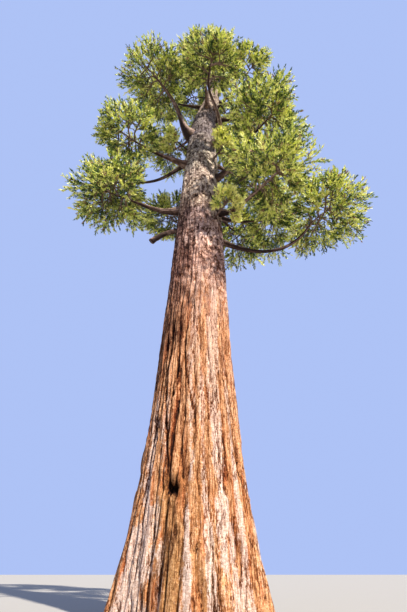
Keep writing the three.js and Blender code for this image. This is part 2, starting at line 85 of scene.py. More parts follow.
BOUGHS = 26
BOUGH_SEED = 7
LOWEST_BOUGH = 13.1
HIGHEST_BOUGH = 35.6
BOUGH_SPACING_POWER = 0.95
FIRST_BEARING = 4
BEARING_SWING = 9
REACH_SPREAD = 0.06
BOUGH_RISE = (0.7, 2.3)
RISE_SPREAD = 0.2
BOUGH_TILT = (22, 58)
BOUGH_DIP = (-0.42, 0.26)
BOUGH_HANDLES = (0.45, 0.4)
BOUGH_RADIUS = (0.175, 0.085)
BOUGH_RADIUS_SPREAD = 0.22
BOUGH_END_SHARE = 0.5
COLLAR_SHARE = 0.7
COLLAR_LENGTH = 0.42
BOUGH_SWAY = 0.38
AS_THE_RULE = {"reach": 1, "radius": 1, "size": 1, "lift": 0, "rise": 0, "turn": 0, "sway": 0}
SHOWN_BOUGHS = {
    0: {
        "reach": 1.22, "radius": 0.64, "size": 0.8, "lift": 0.65, "rise": 0.45, "dip": -1.65, "tilt": 55,
        "sway": 0.6,
    },
    1: {"turn": 40, "lift": 1.5, "size": 0.9},
    2: {"turn": 42, "reach": 1.0, "size": 1.06, "lift": -0.1, "rise": -1.1, "dip": -0.7},
    3: {"size": 1.1, "lift": 0.8},
    4: {"turn": -163, "lift": -0.9},
    5: {"turn": -13, "reach": 0.97, "size": 0.95, "dip": -0.7},
    6: {"size": 1.15},
    7: {"turn": -42, "lift": -0.6},
    8: {"size": 1.1},
    9: {"lift": -0.9, "rise": -2.9, "dip": 0.3, "tilt": 0},
    10: {
        "turn": -25, "reach": 0.92, "radius": 0.95, "size": 0.85, "lift": -1.0, "rise": -0.2, "dip": -0.35,
        "tilt": 40, "sway": 1.2, "lowest": -0.1,
    },
    11: {"size": 1.15},
    12: {
        "turn": 2, "reach": 1.04, "radius": 1.55, "size": 1.12, "lift": -1.6, "rise": 1.9, "dip": 0.2,
        "lowest": -0.35,
    },
    13: {"reach": 1.14, "size": 1.08, "lift": 1.7},
    14: {"size": 1.15},
    15: {"reach": 0.94},
    16: {"size": 1.15},
    17: {"size": 1.12},
    18: {"turn": 8, "lift": -2.6},
    19: {"size": 1.15},
    20: {"turn": -12, "size": 1.2, "lift": 1.2},
    21: {"turn": 12, "lift": -0.9},
    22: {"size": 1.15},
    24: {"size": 1.1, "lift": -2.3},
}

STUB_HEIGHT = 13.75
STUB_BEARING = 186
STUB_REACH = 2.18
STUB_DROP = 1.15
STUB_RADIUS = 0.115
STUB_SHAPE = (1.25, -0.4, 0.25)  # wide at the trunk, slimmer along, a little swollen at the blunt end
STUB_BLUNTNESS = 6
STUB_BEND = (0.66, 0.02)

MASS_SEED = 100
MASS_SIZE = (2.9, 1.65)
MASS_SIZE_SPREAD = 0.12
MASS_IN_CROWN = 0.55
MASS_FLATNESS = 0.82
BOUGH_ENTRY = 0.55
STEM_PAST_MIDDLE = 0.5
STEM_LIFT = 0.3
STEM_BEND = 0.4
STEM_SHARE = 0.9  # its radius where it leaves the bough, of the bough's
STEM_END_RADIUS = 0.045
TUFTS = 15
TUFT_TRIES = (1, 0.84, 0.68)
TUFT_LOWEST = -0.8
TUFT_TRUNKWARD = -0.74
TUFT_ROOT = 0.5
TUFT_TIP_SPREAD = 0.08
TUFT_TURN_SPREAD = 0.25
TWIG_FOOT = (0.5, 0.45, -0.1)
TWIG_FOOT_LIMITS = (0.12, 0.96)
TUFT_WIDTH = 0.58
TWIG_WIDTH = 0.034
LIMB_CLEARANCE = 0.06
CELL_MARGIN = 0.04
CELL_FLATNESS = 0.75
ROOM_STEPS = 6
TRUNK_POINT_SPACING = 0.3
TRUNK_KEEP_OFF = 1.1
LIMB_POINT_STEPS = 24
TRUNK_MASSES = (  # name, height, bearing, half width
    ("foliage_trunk_low", 13.3, -50, 1.0),
    ("foliage_trunk_high", 19.0, -46, 1.1),
    ("foliage_leader_right", 37.3, 20, 1.15),
    ("foliage_leader_left", 38.0, 165, 1.3),
    ("foliage_top", 38.85, 275, 1.12),
    ("foliage_trunk_left", 20.6, -152, 1.0),
)
TRUNK_MASS_SEED = 200
TRUNK_MASS_TILT = 38
TRUNK_MASS_STAND = 0.62

# What is finer than in the source
FILL_SEED = 4000
FILL_TUFTS_PER_AREA = 6.4  # tufts between those of the rule, for a mass with a half width of 1 m
FILL_PLACES = (0.1, 0.9)
FILL_TURN_SPREAD = 0.3
FILL_REACH = (0.6, 1.0)
FILL_TRIES = (1, 0.8, 0.62)
FILL_SNUG = 0.3  # how much of its width a tuft between the others keeps from its neighbours' cells
GROWTH_SEED = 1000
NUDGE = 0.01  # keeps a way across from vanishing where a twig points straight up
TWIG_RADII = (0.05, 0.032, 0.014)  # at the stem, where the tuft starts, and in the tuft
FORK_RADII = (0.028, 0.02, 0.011)  # of a twig that forks off another
TWIG_RADIUS_PLACES = (0, 0.6, 1)
TWIG_SIDES = 4
TWIG_OUTWARD = 0.6  # how strongly a twig of the rule heads away from the trunk as it leaves the stem
TWIG_HANDLES = (0.35, 0.2)
TWIG_END = 0.45  # how far into its tuft it goes
FORK_SHARES = (0.3, 0.45, 0.6, 0.75)  # places along a twig where others fork off
STEM_FORKS = (0.1, 0.9)
FORK_DEPTH = 0.85  # a place nearer the mass's middle than this share of a tuft's distance suits it
FORK_PENALTY = 3.0  # metres that other places count as further off
TWIG_LIFT = 0.1  # how far a twig bows up, as a share of its length
TWIG_BEND = 0.13  # how far it strays sideways
TWIG_STEPS = 5
TWIGLETS = 9  # in each tuft
TWIGLET_RADII = (0.011, 0.004)
TWIGLET_SIDES = 3
TWIGLET_COSINES = (0.98, -0.3)  # from the twiglet that goes straight on to the one furthest back
TWIGLET_PLACES = (0.2, 0.8)
TWIGLET_REACH = (0.85, 1.1)
TWIGLET_FEET = (0.42, -0.1)  # where the first and the last start, along the tuft
TWIGLET_END = 0.93  # a spray past this share of a twiglet is at its end
TUFT_DOME = (0.6, 0.38, 0.48)  # of the tuft's length: its middle, half its length, half its width
SPRAYS = 10  # on each twiglet
SPRAY_PLACES = (0.3, 1.0)  # along a twiglet
SPRAY_PLACE_SPREAD = 0.04
TWIG_SPRAYS = 9  # on the twig itself, before the tuft
TWIG_SPRAY_PLACES = (0.35, 0.95)
SPRAY_LENGTH = 0.206
SPRAY_LENGTH_SPREAD = 0.28
SPRAY_TILT = (0.35, 0.95)  # radians between a spray and its twiglet
SPRAY_LIFT = 0.45  # how strongly sprays turn up
END_SPRAY_STRAIGHTNESS = 0.7
SPRAY_SEED = 31
SPRAY_KINDS = 5
SPRAY_NEEDLES = 6
NEEDLE_TILT = (0.78, 0.12)  # radians between a needle and its spray, at the foot and at the tip
NEEDLE_TURN_SPREAD = 0.4
NEEDLE_TILT_SPREAD = 0.12
NEEDLE_LENGTH = (0.6, 0.46)  # of the spray's length
NEEDLE_LENGTH_SPREAD = (0.85, 1.15)
NEEDLE_WIDTH = 0.22
NEEDLE_FEET = 0.6  # how far along the spray the last needle starts
GREEN_BOUNDS = (0.1, 0.22, 0.34, 0.48, 0.64)  # tones where one green gives way to the next
BROWN_SHARE = 0.06
MASS_TONES = (0.3, 0.06)  # how tone rises outward and upward in a mass, as painted light outside and on top and painted shade inside and under
TUFT_TONES = (0.2, 0.14)  # and in a tuft
TUFT_TONE = 0.07  # how much tufts differ in tone
TWIGLET_TONE = 0.2  # and the twiglets of one tuft
SPRAY_TONE = 0.34  # and the sprays of one twiglet
TWIG_SPRAY_TONE = -0.12
TRUNK_TUFT_TONE = 0.35  # how much paler the tufts on the trunk itself are: painted light on them where the crown shades them
TOP_TONE = 0.09  # and the sprays at the top of the crown, as painted light
TOP_FADE = (22, 36)
LOW_TONE = 0.1  # and its lowest sprays, as painted light
LOW_FADE = (14, 17)
PIECE_SEED = 500
PIECE_TRIANGLES = 195000


def mix(pair, share):
    return pair[0] + (pair[1] - pair[0]) * share


def smoothstep(low, high, value):
    share = np.clip((value - low) / (high - low), 0, 1)
    return share * share * (3 - 2 * share)


def unit(vectors):
    return vectors / np.maximum(np.linalg.norm(vectors, axis=-1, keepdims=True), 1e-9)


def heading_of(bearing):
    return np.array([math.cos(math.radians(bearing)), math.sin(math.radians(bearing)), 0.0])


def seeded(seed):
    """The source's stream of numbers from -1 to 1."""
    mask = 0xFFFFFFFF
    state = seed & mask

    def chance():
        nonlocal state
        state = (state + 0x6D2B79F5) & mask
        mixed = ((state ^ (state >> 15)) * (state | 1)) & mask
        mixed ^= (mixed + (mixed ^ (mixed >> 7)) * (mixed | 61)) & mask
        return (mixed ^ (mixed >> 14)) / 2147483648 - 1

    return chance


class Curve:
    """A Bezier curve that is read by the share of its length."""

    PIECES = 200

    def __init__(self, *controls):
        self.controls = np.array(controls)
        steps = np.linalg.norm(np.diff(self.at(np.linspace(0, 1, self.PIECES + 1)), axis=0), axis=1)
        self.lengths = np.concatenate([[0], np.cumsum(steps)])

    def at(self, t):
        t = np.atleast_1d(t)[:, None]
        points = self.controls[:, None, :]
        while len(points) > 1:
            points = points[:-1] * (1 - t) + points[1:] * t
        return points[0]

    def along(self, share):
        """The points at shares of the curve's length."""
        wanted = np.atleast_1d(share) * self.lengths[-1]
        return self.at(np.interp(wanted, self.lengths, np.linspace(0, 1, self.PIECES + 1)))


# The trunk's form


def trunk_middle(height):
    share = smoothstep(LEADER_FROM, LEADER_TO, np.asarray(height, float))
    return np.asarray(height, float)[..., None] * TRUNK_LEAN + share[..., None] * LEADER_SHIFT


def round_radius(height):
    bole = BOLE_RADIUS * np.maximum(0, 1 - (height / TRUNK_TOP) ** BOLE_POWER)
    return bole + TIP_RADIUS + FLARE * np.exp(-((height / FLARE_HEIGHT) ** FLARE_POWER))


def trunk_radius(height, around):
    def wave(count, depth, phase, turn):
        return depth * np.cos(count * around + phase + turn * height)

    roots = sum(wave(*lobe) for lobe in ROOT_LOBES) * np.exp(-height / ROOT_LOBE_HEIGHT)
    return round_radius(height) * (1 + roots + sum(wave(*flute) for flute in BOLE_FLUTES))


def crown_radius(height, bearing):
    above = max(0, (height - CROWN_WIDEST) / (CROWN_END - CROWN_WIDEST))
    dome = max(0, 1 - above**DOME_FULLNESS) ** DOME_POWER
    return CROWN_RADIUS * dome * (1 - NEAR_SIDE_LOSS * max(0, -math.sin(math.radians(bearing))))


# The boughs and masses, planned as in the source


def plan_boughs():
    chance = seeded(BOUGH_SEED)
    plans = []
    for i in range(BOUGHS):
        shown = {**AS_THE_RULE, **SHOWN_BOUGHS.get(i, {})}
        share = i / (BOUGHS - 1)
        height = mix((LOWEST_BOUGH, HIGHEST_BOUGH), share**BOUGH_SPACING_POWER) + shown["lift"]
        bearing = FIRST_BEARING + i * math.degrees(GOLDEN_ANGLE) + BEARING_SWING * chance() + shown["turn"]
        rise = mix(BOUGH_RISE, share) * (1 + RISE_SPREAD * chance()) + shown["rise"]
        wanted = mix(MASS_SIZE, share) * (1 + MASS_SIZE_SPREAD * chance()) * shown["size"]
        reach = crown_radius(height + rise, bearing) * (1 + REACH_SPREAD * chance()) * shown["reach"]
        radius = mix(BOUGH_RADIUS, share) * (1 + BOUGH_RADIUS_SPREAD * chance()) * shown["radius"]
        sway = BOUGH_SWAY * chance() + shown["sway"]
        dip = shown.get("dip", mix(BOUGH_DIP, share))
        tilt = math.radians(shown.get("tilt", mix(BOUGH_TILT, share)))
        size = min(wanted, MASS_IN_CROWN * reach)

        out = heading_of(bearing)
        aside = heading_of(bearing + 90)
        start = trunk_middle(height)
        middle = start + out * (reach - size) + UP * rise
        rising = out * math.cos(tilt) + UP * math.sin(tilt)
        end = middle - rising * BOUGH_ENTRY * size
        span = np.linalg.norm(end - start)
        first = start + out * BOUGH_HANDLES[0] * span + UP * dip + aside * sway
        second = end - rising * BOUGH_HANDLES[1] * span + aside * sway / 2
        plans.append(
            {
                "curve": Curve(start, first, second, end),
                "radius": radius,
                "span": span,
                "bare_from": float(trunk_radius(height, math.radians(bearing))),
                "aside": aside,
                "mass": {
                    "name": f"foliage_{i + 1:02d}",
                    "middle": middle,
                    "size": size,
                    "out": out,
                    "lowest": shown.get("lowest", TUFT_LOWEST),
                    "start": end,
                    "heading": unit(end - second),
                    "seed": MASS_SEED + i,
                    "on_trunk": False,
                },
            }
        )
    return plans


def bough_radius(plan, share):
    past_bark = np.maximum(0, share * plan["span"] - plan["bare_from"])
    collar = COLLAR_SHARE * np.exp(-past_bark / COLLAR_LENGTH)
    return plan["radius"] * (1 - (1 - BOUGH_END_SHARE) * share + collar)


def stub_curve():
    out = heading_of(STUB_BEARING)
    start = trunk_middle(STUB_HEIGHT)
    end = start + out * STUB_REACH - UP * STUB_DROP
    bend = start + out * STUB_BEND[0] * STUB_REACH - UP * STUB_BEND[1] * STUB_DROP
    return Curve(start, bend, end)


def stub_radius(share):
    return STUB_RADIUS * (STUB_SHAPE[0] + STUB_SHAPE[1] * share + STUB_SHAPE[2] * share**STUB_BLUNTNESS)


def plan_trunk_mass(name, height, bearing, size, seed):
    out = heading_of(bearing)
    tilt = math.radians(TRUNK_MASS_TILT)
    start = trunk_middle(height)
    off = float(trunk_radius(height, math.radians(bearing))) + TRUNK_MASS_STAND * size
    climb = (off - float(round_radius(height))) * math.tan(tilt)
    return {
        "name": name,
        "middle": start + out * off + UP * climb,
        "size": size,
        "out": out,
        "lowest": TUFT_LOWEST,
        "start": start,
        "heading": out * math.cos(tilt) + UP * math.sin(tilt),
        "seed": seed,
        "on_trunk": True,
    }


def stem_curve(mass):
    start = mass["start"] + mass["heading"] * JOINT_GAP
    bend = start + mass["heading"] * STEM_BEND * mass["size"]
    if mass["on_trunk"]:
        bend = (start + mass["middle"]) / 2
    last = mass["middle"] + mass["out"] * STEM_PAST_MIDDLE * mass["size"] + UP * STEM_LIFT * mass["size"]
    return Curve(start, bend, last)


class Room:
    """Whether a twig or tuft stays in its mass's cell, under the top, off the wood and out of the sky."""

    def __init__(self, boughs, stub, masses):
        self.masses = masses
        self.flat = np.array([m["middle"] / (1, 1, CELL_FLATNESS) for m in masses])
        heights = np.arange(0, TRUNK_TOP, TRUNK_POINT_SPACING)
        shares = np.linspace(0, 1, LIMB_POINT_STEPS + 1)
        places = [trunk_middle(heights), stub.along(shares)]
        radii = [TRUNK_KEEP_OFF * round_radius(heights), stub_radius(shares)]
        owners = [np.full(len(heights), -1), np.full(len(shares), -1)]
        for i, plan in enumerate(boughs):
            places.append(plan["curve"].along(shares))
            radii.append(bough_radius(plan, shares))
            owners.append(np.full(len(shares), i))
        self.places = np.concatenate(places)
        self.radii = np.concatenate(radii)
        self.owners = np.concatenate(owners)

    def has(self, mass_index, start, end, radius, width):
        at = start + np.linspace(0, 1, ROOM_STEPS + 1)[:, None] * (end - start)
        if (at[:, 2] + radius > TREE_TOP).any() or hides_what_shows(at).any():
            return False
        flat = at / (1, 1, CELL_FLATNESS)
        apart = np.linalg.norm(self.flat - self.flat[mass_index], axis=1)
        off = np.linalg.norm(flat[:, None] - self.flat, axis=2)
        border = (off**2 - off[:, [mass_index]] ** 2) / (2 * np.maximum(apart, 1e-9))
        border[:, mass_index] = np.inf
        if (border < (radius + CELL_MARGIN) / CELL_FLATNESS).any():
            return False
        clear = np.where(self.owners == mass_index, JOINT_GAP, LIMB_CLEARANCE)
        gaps = np.linalg.norm(at[:, None] - self.places, axis=2) - (self.radii + width + clear)
        return not (gaps < 0).any()


def hides_what_shows(at):
    """Whether points hide the bare front of the trunk, or the sky on its left, from the eye point."""
    ahead = at[:, 1] - RULE_EYE[1]
    aside = at[:, 0] * -RULE_EYE[1] / ahead
    slope = (at[:, 2] - RULE_EYE[2]) / ahead
    hides_trunk = (at[:, 1] < 0) & (slope < BARE_SLOPE) & (aside > BARE_SIDES[0]) & (aside < BARE_SIDES[1])
    return hides_trunk | ((at[:, 0] < 0) & (slope < SKY_SLOPE))


def rule_tufts(mass, index, stem, room):
    """The tufts of the source's rule: (foot on the stem, root, tip) of each."""
    chance = seeded(mass["seed"])
    first_turn = math.pi * chance()
    aside = np.cross(UP, mass["out"])
    tufts = []
    for k in range(TUFTS):
        up = mix((1, mass["lowest"]), (k + 0.5) / TUFTS)
        around = first_turn + k * GOLDEN_ANGLE + TUFT_TURN_SPREAD * chance()
        tip_share = 1 + TUFT_TIP_SPREAD * chance()
        tuft = tuft_at(mass, index, stem, room, aside, up, around, tip_share, TUFT_TRIES)
        if tuft:
            tufts.append(tuft)
    return tufts


def tuft_at(mass, index, stem, room, aside, up, around, tip_share, tries, snug=1):
    ring = math.sqrt(1 - up * up)
    outward = math.cos(around) * ring
    if outward < TUFT_TRUNKWARD:
        return None
    size = mass["size"]
    reach = mass["out"] * outward * size + aside * math.sin(around) * ring * size
    reach = reach + UP * up * size * MASS_FLATNESS
    foot_share = np.clip(TWIG_FOOT[0] + TWIG_FOOT[1] * outward + TWIG_FOOT[2] * up, *TWIG_FOOT_LIMITS)
    foot = stem.along(foot_share)[0]
    for share in tries:
        root = mass["middle"] + reach * TUFT_ROOT * share
        tip = mass["middle"] + reach * tip_share * share
        width = TUFT_WIDTH * np.linalg.norm(tip - root) * snug
        if not room.has(index, foot, root, TWIG_WIDTH, TWIG_WIDTH):
            continue
        if room.has(index, root, tip, width / 2, width):
            return foot, root, tip
    return None


def fill_tufts(mass, index, stem, room):
    """Tufts that fill the mass between those of the rule, by the same spiral."""
    rng = np.random.default_rng(FILL_SEED + mass["seed"])
    aside = np.cross(UP, mass["out"])
    count = round(FILL_TUFTS_PER_AREA * mass["size"] ** 2)
    first_turn = rng.uniform(0, FULL_TURN)
    tufts = []
    for k in range(count):
        up = mix((1, mass["lowest"]), (k + rng.uniform(*FILL_PLACES)) / count)
        around = first_turn + k * GOLDEN_ANGLE + rng.uniform(-FILL_TURN_SPREAD, FILL_TURN_SPREAD)
        reach = mix(FILL_REACH, rng.random())
        tries = [reach * share for share in FILL_TRIES]
        tuft = tuft_at(mass, index, stem, room, aside, up, around, 1, tries, FILL_SNUG)
        if tuft:
            tufts.append(tuft)
    return tufts


# Meshes from arrays


def mesh_object(name, places, faces, smooth, materials, which=None, uvs=None, attributes=None):
    """A mesh from points and faces, a list of index arrays that each hold faces of one kind."""
    mesh = bpy.data.meshes.new(name)
    mesh.vertices.add(len(places))
    mesh.vertices.foreach_set("co", np.asarray(places, np.float32).ravel())
    corners = np.concatenate([f.ravel() for f in faces])
    sizes = np.concatenate([np.full(len(f), f.shape[1]) for f in faces])
    mesh.loops.add(len(corners))
    mesh.loops.foreach_set("vertex_index", corners.astype(np.int32))
    mesh.polygons.add(len(sizes))
    starts = np.concatenate([[0], np.cumsum(sizes)[:-1]])
    mesh.polygons.foreach_set("loop_start", starts.astype(np.int32))
    for key, values in (attributes or {}).items():
        data = mesh.attributes.new(key, "FLOAT", "POINT").data
        data.foreach_set("value", values.astype(np.float32).ravel())
    if uvs is not None:
        layer = mesh.uv_layers.new(name="OFBake")
        layer.data.foreach_set("uv", uvs.astype(np.float32).ravel())
    mesh.update(calc_edges=True)
    mesh.polygons.foreach_set("use_smooth", np.full(len(sizes), smooth))
    for material in materials:
        mesh.materials.append(material)
    if which is not None:
        mesh.polygons.foreach_set("material_index", which.astype(np.int32))
    made = bpy.data.objects.new(name, mesh)
    bpy.context.scene.collection.objects.link(made)
    return made


def grid_faces(rows, columns):
    """Quads of a grid whose columns close on themselves."""
    row, column = np.meshgrid(np.arange(rows - 1), np.arange(columns), indexing="ij")
    following = (column + 1) % columns
    corners = [row * columns + column, row * columns + following]
    corners += [corners[1] + columns, corners[0] + columns]
    return np.stack(corners, axis=-1).reshape(-1, 4)


def grid_uvs(rows, columns):
    """Where the corners of such a grid's quads lie in a unit square."""
    row, column = np.meshgrid(np.arange(rows - 1), np.arange(columns), indexing="ij")
    first = np.stack([column / columns, row / (rows - 1)], axis=-1).reshape(-1, 1, 2)
    steps = np.array([(0, 0), (1, 0), (1, 1), (0, 1)]) / (columns, rows - 1)
    return first + steps


def tubes(paths, radii, aside, sides):
    """Tubes along paths (tubes, steps, 3), with a radius for each step or for each of its sides."""
    count, steps = paths.shape[:2]
    ways = unit(np.gradient(paths, axis=1))
    across = unit(aside[:, None] - ways * (ways * aside[:, None]).sum(-1, keepdims=True))
    other = np.cross(ways, across)
    if radii.ndim == 2:
        radii = np.repeat(radii[:, :, None], sides, axis=2)
    turn = np.arange(sides) * FULL_TURN / sides
    spokes = across[:, :, None] * np.cos(turn)[:, None] + other[:, :, None] * np.sin(turn)[:, None]
    places = (paths[:, :, None] + spokes * radii[..., None]).reshape(-1, 3)
    base = np.arange(count)[:, None, None] * steps * sides
    walls = (grid_faces(steps, sides)[None] + base).reshape(-1, 4)
    last = (steps - 1) * sides + np.arange(sides)
    ends = (last[None] + base[:, 0]).reshape(-1, sides)
    return places, walls, ends


# Bark


BARK_SEED = 11
TRUNK_SIDES = 380
TRUNK_RINGS = 254
RING_CROWDING = 1.3  # the rings are closer together near the ground

# Noise round the trunk, in layers of how strong it is, its cells around, and each cell's height in metres
DRIFT = ((0.13, 7, 4.5), (0.05, 17, 1.6))  # radians that the plates wander sideways
RAGGED = ((0.014, 64, 0.3), (0.012, 110, 0.16))  # radians that their edges do
PLATE_ENDS = ((0.3, 60, 0.8),)  # metres that their ends wander up and down
FURROW_WIDTHS = ((0.1, 23, 1.4),)
FIBRES = ((1.0, 170, 0.3),)
SHELVES = ((1.0, 44, 0.55),)
BROAD_TONES = ((1.0, 9, 3.0),)
ROUGHNESS = ((1.0, 50, 0.5), (0.6, 120, 0.2))

PLATES = (42, 2.9)  # how many round the trunk, and how long
FINE_PLATES = (92, 1.1)
FINE_PLATE_RAGGED = 1.4
PLATE_SHIFT = 0.42  # how far a plate's middle may be off its place, in plates
PLATE_SIDE_BY_SIDE = (0.15, 0.6)  # how far apart two plates are sideways for a furrow between them
FURROW_FLOOR = 0.05
FURROW_WIDTH = 0.24
FINE_FURROW_WIDTH = 0.32
BARK_RELIEF = {"furrow": 0.05, "fine furrow": 0.02, "fibre": 0.014, "plate": 0.04, "shelf": 0.018}  # metres
RELIEF_SLIMNESS = (0.04, 1.15)  # limits of the share of the bole's radius that the relief goes by
RELIEF_POWER = 1.2
STAND_OF_RIDGES = 0.92
# The long furrows and the knot holes are darkened as painted shade in them.
STAND = {"furrow": 0.45, "fine furrow": 0.26, "fibre": 0.14, "shelf": 0.14, "long furrow": -0.8, "hole": -7}
PALENESS = {"cell": 0.3, "fine cell": 0.16, "broad": 0.12, "pale band": 0.58}
OCHRE_BY_BROAD_TONE = (0.65, 1.0)

BAND_SIDES = (0.55, 1.15)  # the shares of its half width between which a band fades
BAND_FOOT = (-0.4, 0.5)  # the same at its foot, in metres from it
BAND_HEAD = (0.85, 0.4)  # from this share of its top's height to so many metres past its top
BAND_RAGGED = (0.5, 0.4, 0.6)  # how ragged its sides, foot and head are
OVAL_RIM = (0.4, 1.25)
FURROW_SIDES = (0.25, 1.2)
FURROW_RAGGED = 0.45
FURROW_FOOT = 0.3
FURROW_HEAD = 0.6
FURROW_DARKNESS = 0.8
FURROW_DARK_FROM = (1.9, 2.6)

# What the photograph shows on the trunk, by bearing in degrees and height in metres, and the like all round
PALE_BANDS = (  # half width in degrees, how pale, then heights from the lowest up, and the bearing at each
    (11, 1.0, (-1.0, 0.3, 2.0, 3.5, 8.0), (-46, -48, -58, -64, -65)),
    (12, 0.95, (6.0, 9.0, 24.0), (-64, -60, -58)),
    (4, 0.95, (-1.0, 1.0, 3.0, 6.0), (-33, -35, -38, -40)),
    (13, 1.0, (-1.0, 0.5, 1.9), (-132, -133, -133)),
    (6, 1.0, (1.6, 2.4, 3.4, 5.2), (-133, -136, -140, -144)),
    (5, 0.7, (2.6, 3.6, 5.5), (-122, -124, -126)),
    (2.5, 0.9, (-1.0, 0.4, 1.6, 2.2), (-88, -90, -93, -94)),
    (4, 0.85, (2.7, 3.6, 6.6), (-91, -92, -95)),
    (9, 0.7, (5.5, 8.0, 11.0), (-93, -91, -90)),
    (2.5, 0.6, (-1.0, 0.6, 1.5), (-110, -112, -114)),
    (4, 0.8, (-1.0, 1.0, 3.0, 6.0), (-72, -76, -79, -81)),
    (4, 0.6, (0.8, 5.0, 12.0), (-18, -20, -22)),
    (9, 0.9, (-1.0, 2.0, 7.0), (22, 18, 15)),
    (5, 0.7, (2.0, 8.0, 16.0), (50, 47, 48)),
    (7, 0.9, (-1.0, 3.0, 9.0), (88, 84, 82)),
    (5, 0.7, (2.0, 6.0, 13.0), (120, 118, 116)),
    (8, 0.9, (-1.0, 2.0, 6.0), (160, 156, 153)),
    (5, 0.6, (4.0, 9.0, 15.0), (190, 190, 188)),
)
OCHRE_PATCHES = (
    (13, 1.0, (0.1, 1.2, 2.5), (-102, -104, -108)),
    (9, 0.8, (0.2, 0.7, 1.3), (-75, -77, -79)),
    (7, 0.6, (1.7, 2.4, 3.4), (-84, -86, -88)),
    (16, 0.8, (0.2, 1.4, 2.6), (60, 60, 60)),
    (14, 0.8, (0.4, 1.6, 2.8), (150, 150, 150)),
)
DARK_BARK_AND_SHADE_BANDS = (  # where the bark is dark red-brown: painted shade on the left flank and in a few gashes and cracks in front, and darker bark round the back
    (44, 0.95, (6.2, 9.0, 16.5), (-150, -147, -145)),
    (13, 0.95, (3.3, 4.4, 6.0, 7.6), (-164, -162, -159, -155)),
    (11, 0.85, (2.1, 2.8, 3.7), (-171, -170, -168)),
    (3.5, 0.85, (0.4, 0.7, 1.2), (-113, -111, -106)),
    (2, 0.8, (-1.0, 0.2, 0.5), (-121, -118, -114)),
    (2.5, 0.8, (1.6, 1.9, 2.3), (-105, -105, -106)),
    (3, 0.7, (5.6, 6.3, 7.2), (-46, -45, -43)),
    (2.5, 0.7, (8.2, 8.6, 9.2), (-47, -46, -46)),
    (20, 0.6, (4.0, 9.0, 14.0), (70, 70, 72)),
    (16, 0.6, (3.0, 7.0, 11.0), (140, 140, 138)),
    (8, 0.5, (5.0, 8.0, 12.0), (8, 8, 6)),
)
DEEP_FURROWS = (  # half width, depth, heights and bearings
    (2.0, 0.08, (-0.5, 1.0, 2.4, 4.6, 8.5, 9.5), (-112, -112, -112, -128, -133, -134)),
    (2.2, 0.06, (-0.5, 2.0, 4.0, 7.0), (-140, -141, -139, -142)),
    (2.6, 0.03, (2.9, 4.5, 5.6, 7.1, 9.5), (-114, -112, -114, -116, -118)),
    (2.0, 0.03, (4.2, 4.8, 5.9, 6.6, 9.0), (-129, -129, -132, -128, -124)),
    (1.5, 0.02, (3.5, 4.1, 4.9, 5.9, 8.0), (-85, -88, -96, -105, -111)),
    (2.0, 0.06, (-0.5, 1.0, 2.5, 3.6, 6.0), (-38, -42, -48, -53, -55)),
    (3.0, 0.08, (-0.5, 2.0, 5.0, 9.0), (35, 31, 36, 33)),
    (2.6, 0.08, (-0.5, 2.5, 6.0, 10.0), (101, 104, 99, 102)),
    (2.8, 0.08, (-0.5, 2.0, 5.0, 8.0), (171, 167, 172, 170)),
)
KNOT_HOLES = (  # height, bearing, half height, half width in metres, depth
    (2.42, -109, 0.13, 0.2, 0.17),
    (2.28, -104, 0.1, 0.05, 0.05),
    (1.57, -103, 0.12, 0.05, 0.06),
    (0.8, -113, 0.2, 0.05, 0.05),
    (1.28, -86, 0.05, 0.06, 0.04),
    (4.9, -118, 0.07, 0.06, 0.12),
    (3.4, 60, 0.12, 0.09, 0.2),
)
BURLS = (  # height, bearing, half height, half width in metres, how far it stands out
    (3.25, -168, 0.4, 0.18, 0.055),
    (2.5, -172, 0.25, 0.16, 0.045),
    (6.3, 12, 0.5, 0.3, 0.07),
    (4.6, 128, 0.6, 0.3, 0.09),
)


def ring_noise(rng, around, height, columns, spacing):
    """Smooth noise from -1 to 1 over the trunk without a seam."""
    rows = int(TRUNK_TOP / spacing) + 3
    grid = rng.uniform(-1, 1, (rows, columns))
    u = around / FULL_TURN * columns
    v = height / spacing
    column = np.floor(u).astype(int)
    row = np.floor(v).astype(int)
    x = smoothstep(0, 1, u - column)
    y = smoothstep(0, 1, v - row)
    left = grid[row, column % columns] * (1 - y) + grid[row + 1, column % columns] * y
    right = grid[row, (column + 1) % columns] * (1 - y) + grid[row + 1, (column + 1) % columns] * y
    return left * (1 - x) + right * x


def plates(rng, around, height, columns, length):
    """Long cells around the trunk: (distance from the cell's side, a number from 0 to 1 for each cell)."""
    rows = int(TRUNK_TOP / length) + 5
    shift = rng.uniform(-PLATE_SHIFT, PLATE_SHIFT, (rows, columns, 2))
    value = rng.random((rows, columns))
    u = around / FULL_TURN * columns
    v = height / length + 2
    column = np.floor(u).astype(int)
    row = np.floor(v).astype(int)
    best = np.full(u.shape, np.inf)
    second = np.full(u.shape, np.inf)
    best_x = np.zeros(u.shape)
    second_x = np.zeros(u.shape)
    cell = np.zeros(u.shape)
    for down in (-1, 0, 1):
        for side in (-2, -1, 0, 1, 2):
            r = np.clip(row + down, 0, rows - 1)
            c = (column + side) % columns
            x = column + side + 0.5 + shift[r, c, 0] + 0.5 * (r % 2)
            y = r + 0.5 + shift[r, c, 1]
            distance = np.hypot(u - x, v - y)
            nearer = distance < best
            later = ~nearer & (distance < second)
            second_x = np.where(nearer, best_x, np.where(later, x, second_x))
            second = np.where(nearer, best, np.where(later, distance, second))
            best_x = np.where(nearer, x, best_x)
            best = np.where(nearer, distance, best)
            cell = np.where(nearer, value[r, c], cell)
    sideways = smoothstep(*PLATE_SIDE_BY_SIDE, np.abs(best_x - second_x))
    return 1 - (1 - np.clip(second - best, 0, 1)) * sideways, cell


def turn_between(around, bearing):
    """How far around the trunk a place is from a bearing, in degrees from -180 to 180."""
    return (np.degrees(around) - bearing + 180) % 360 - 180


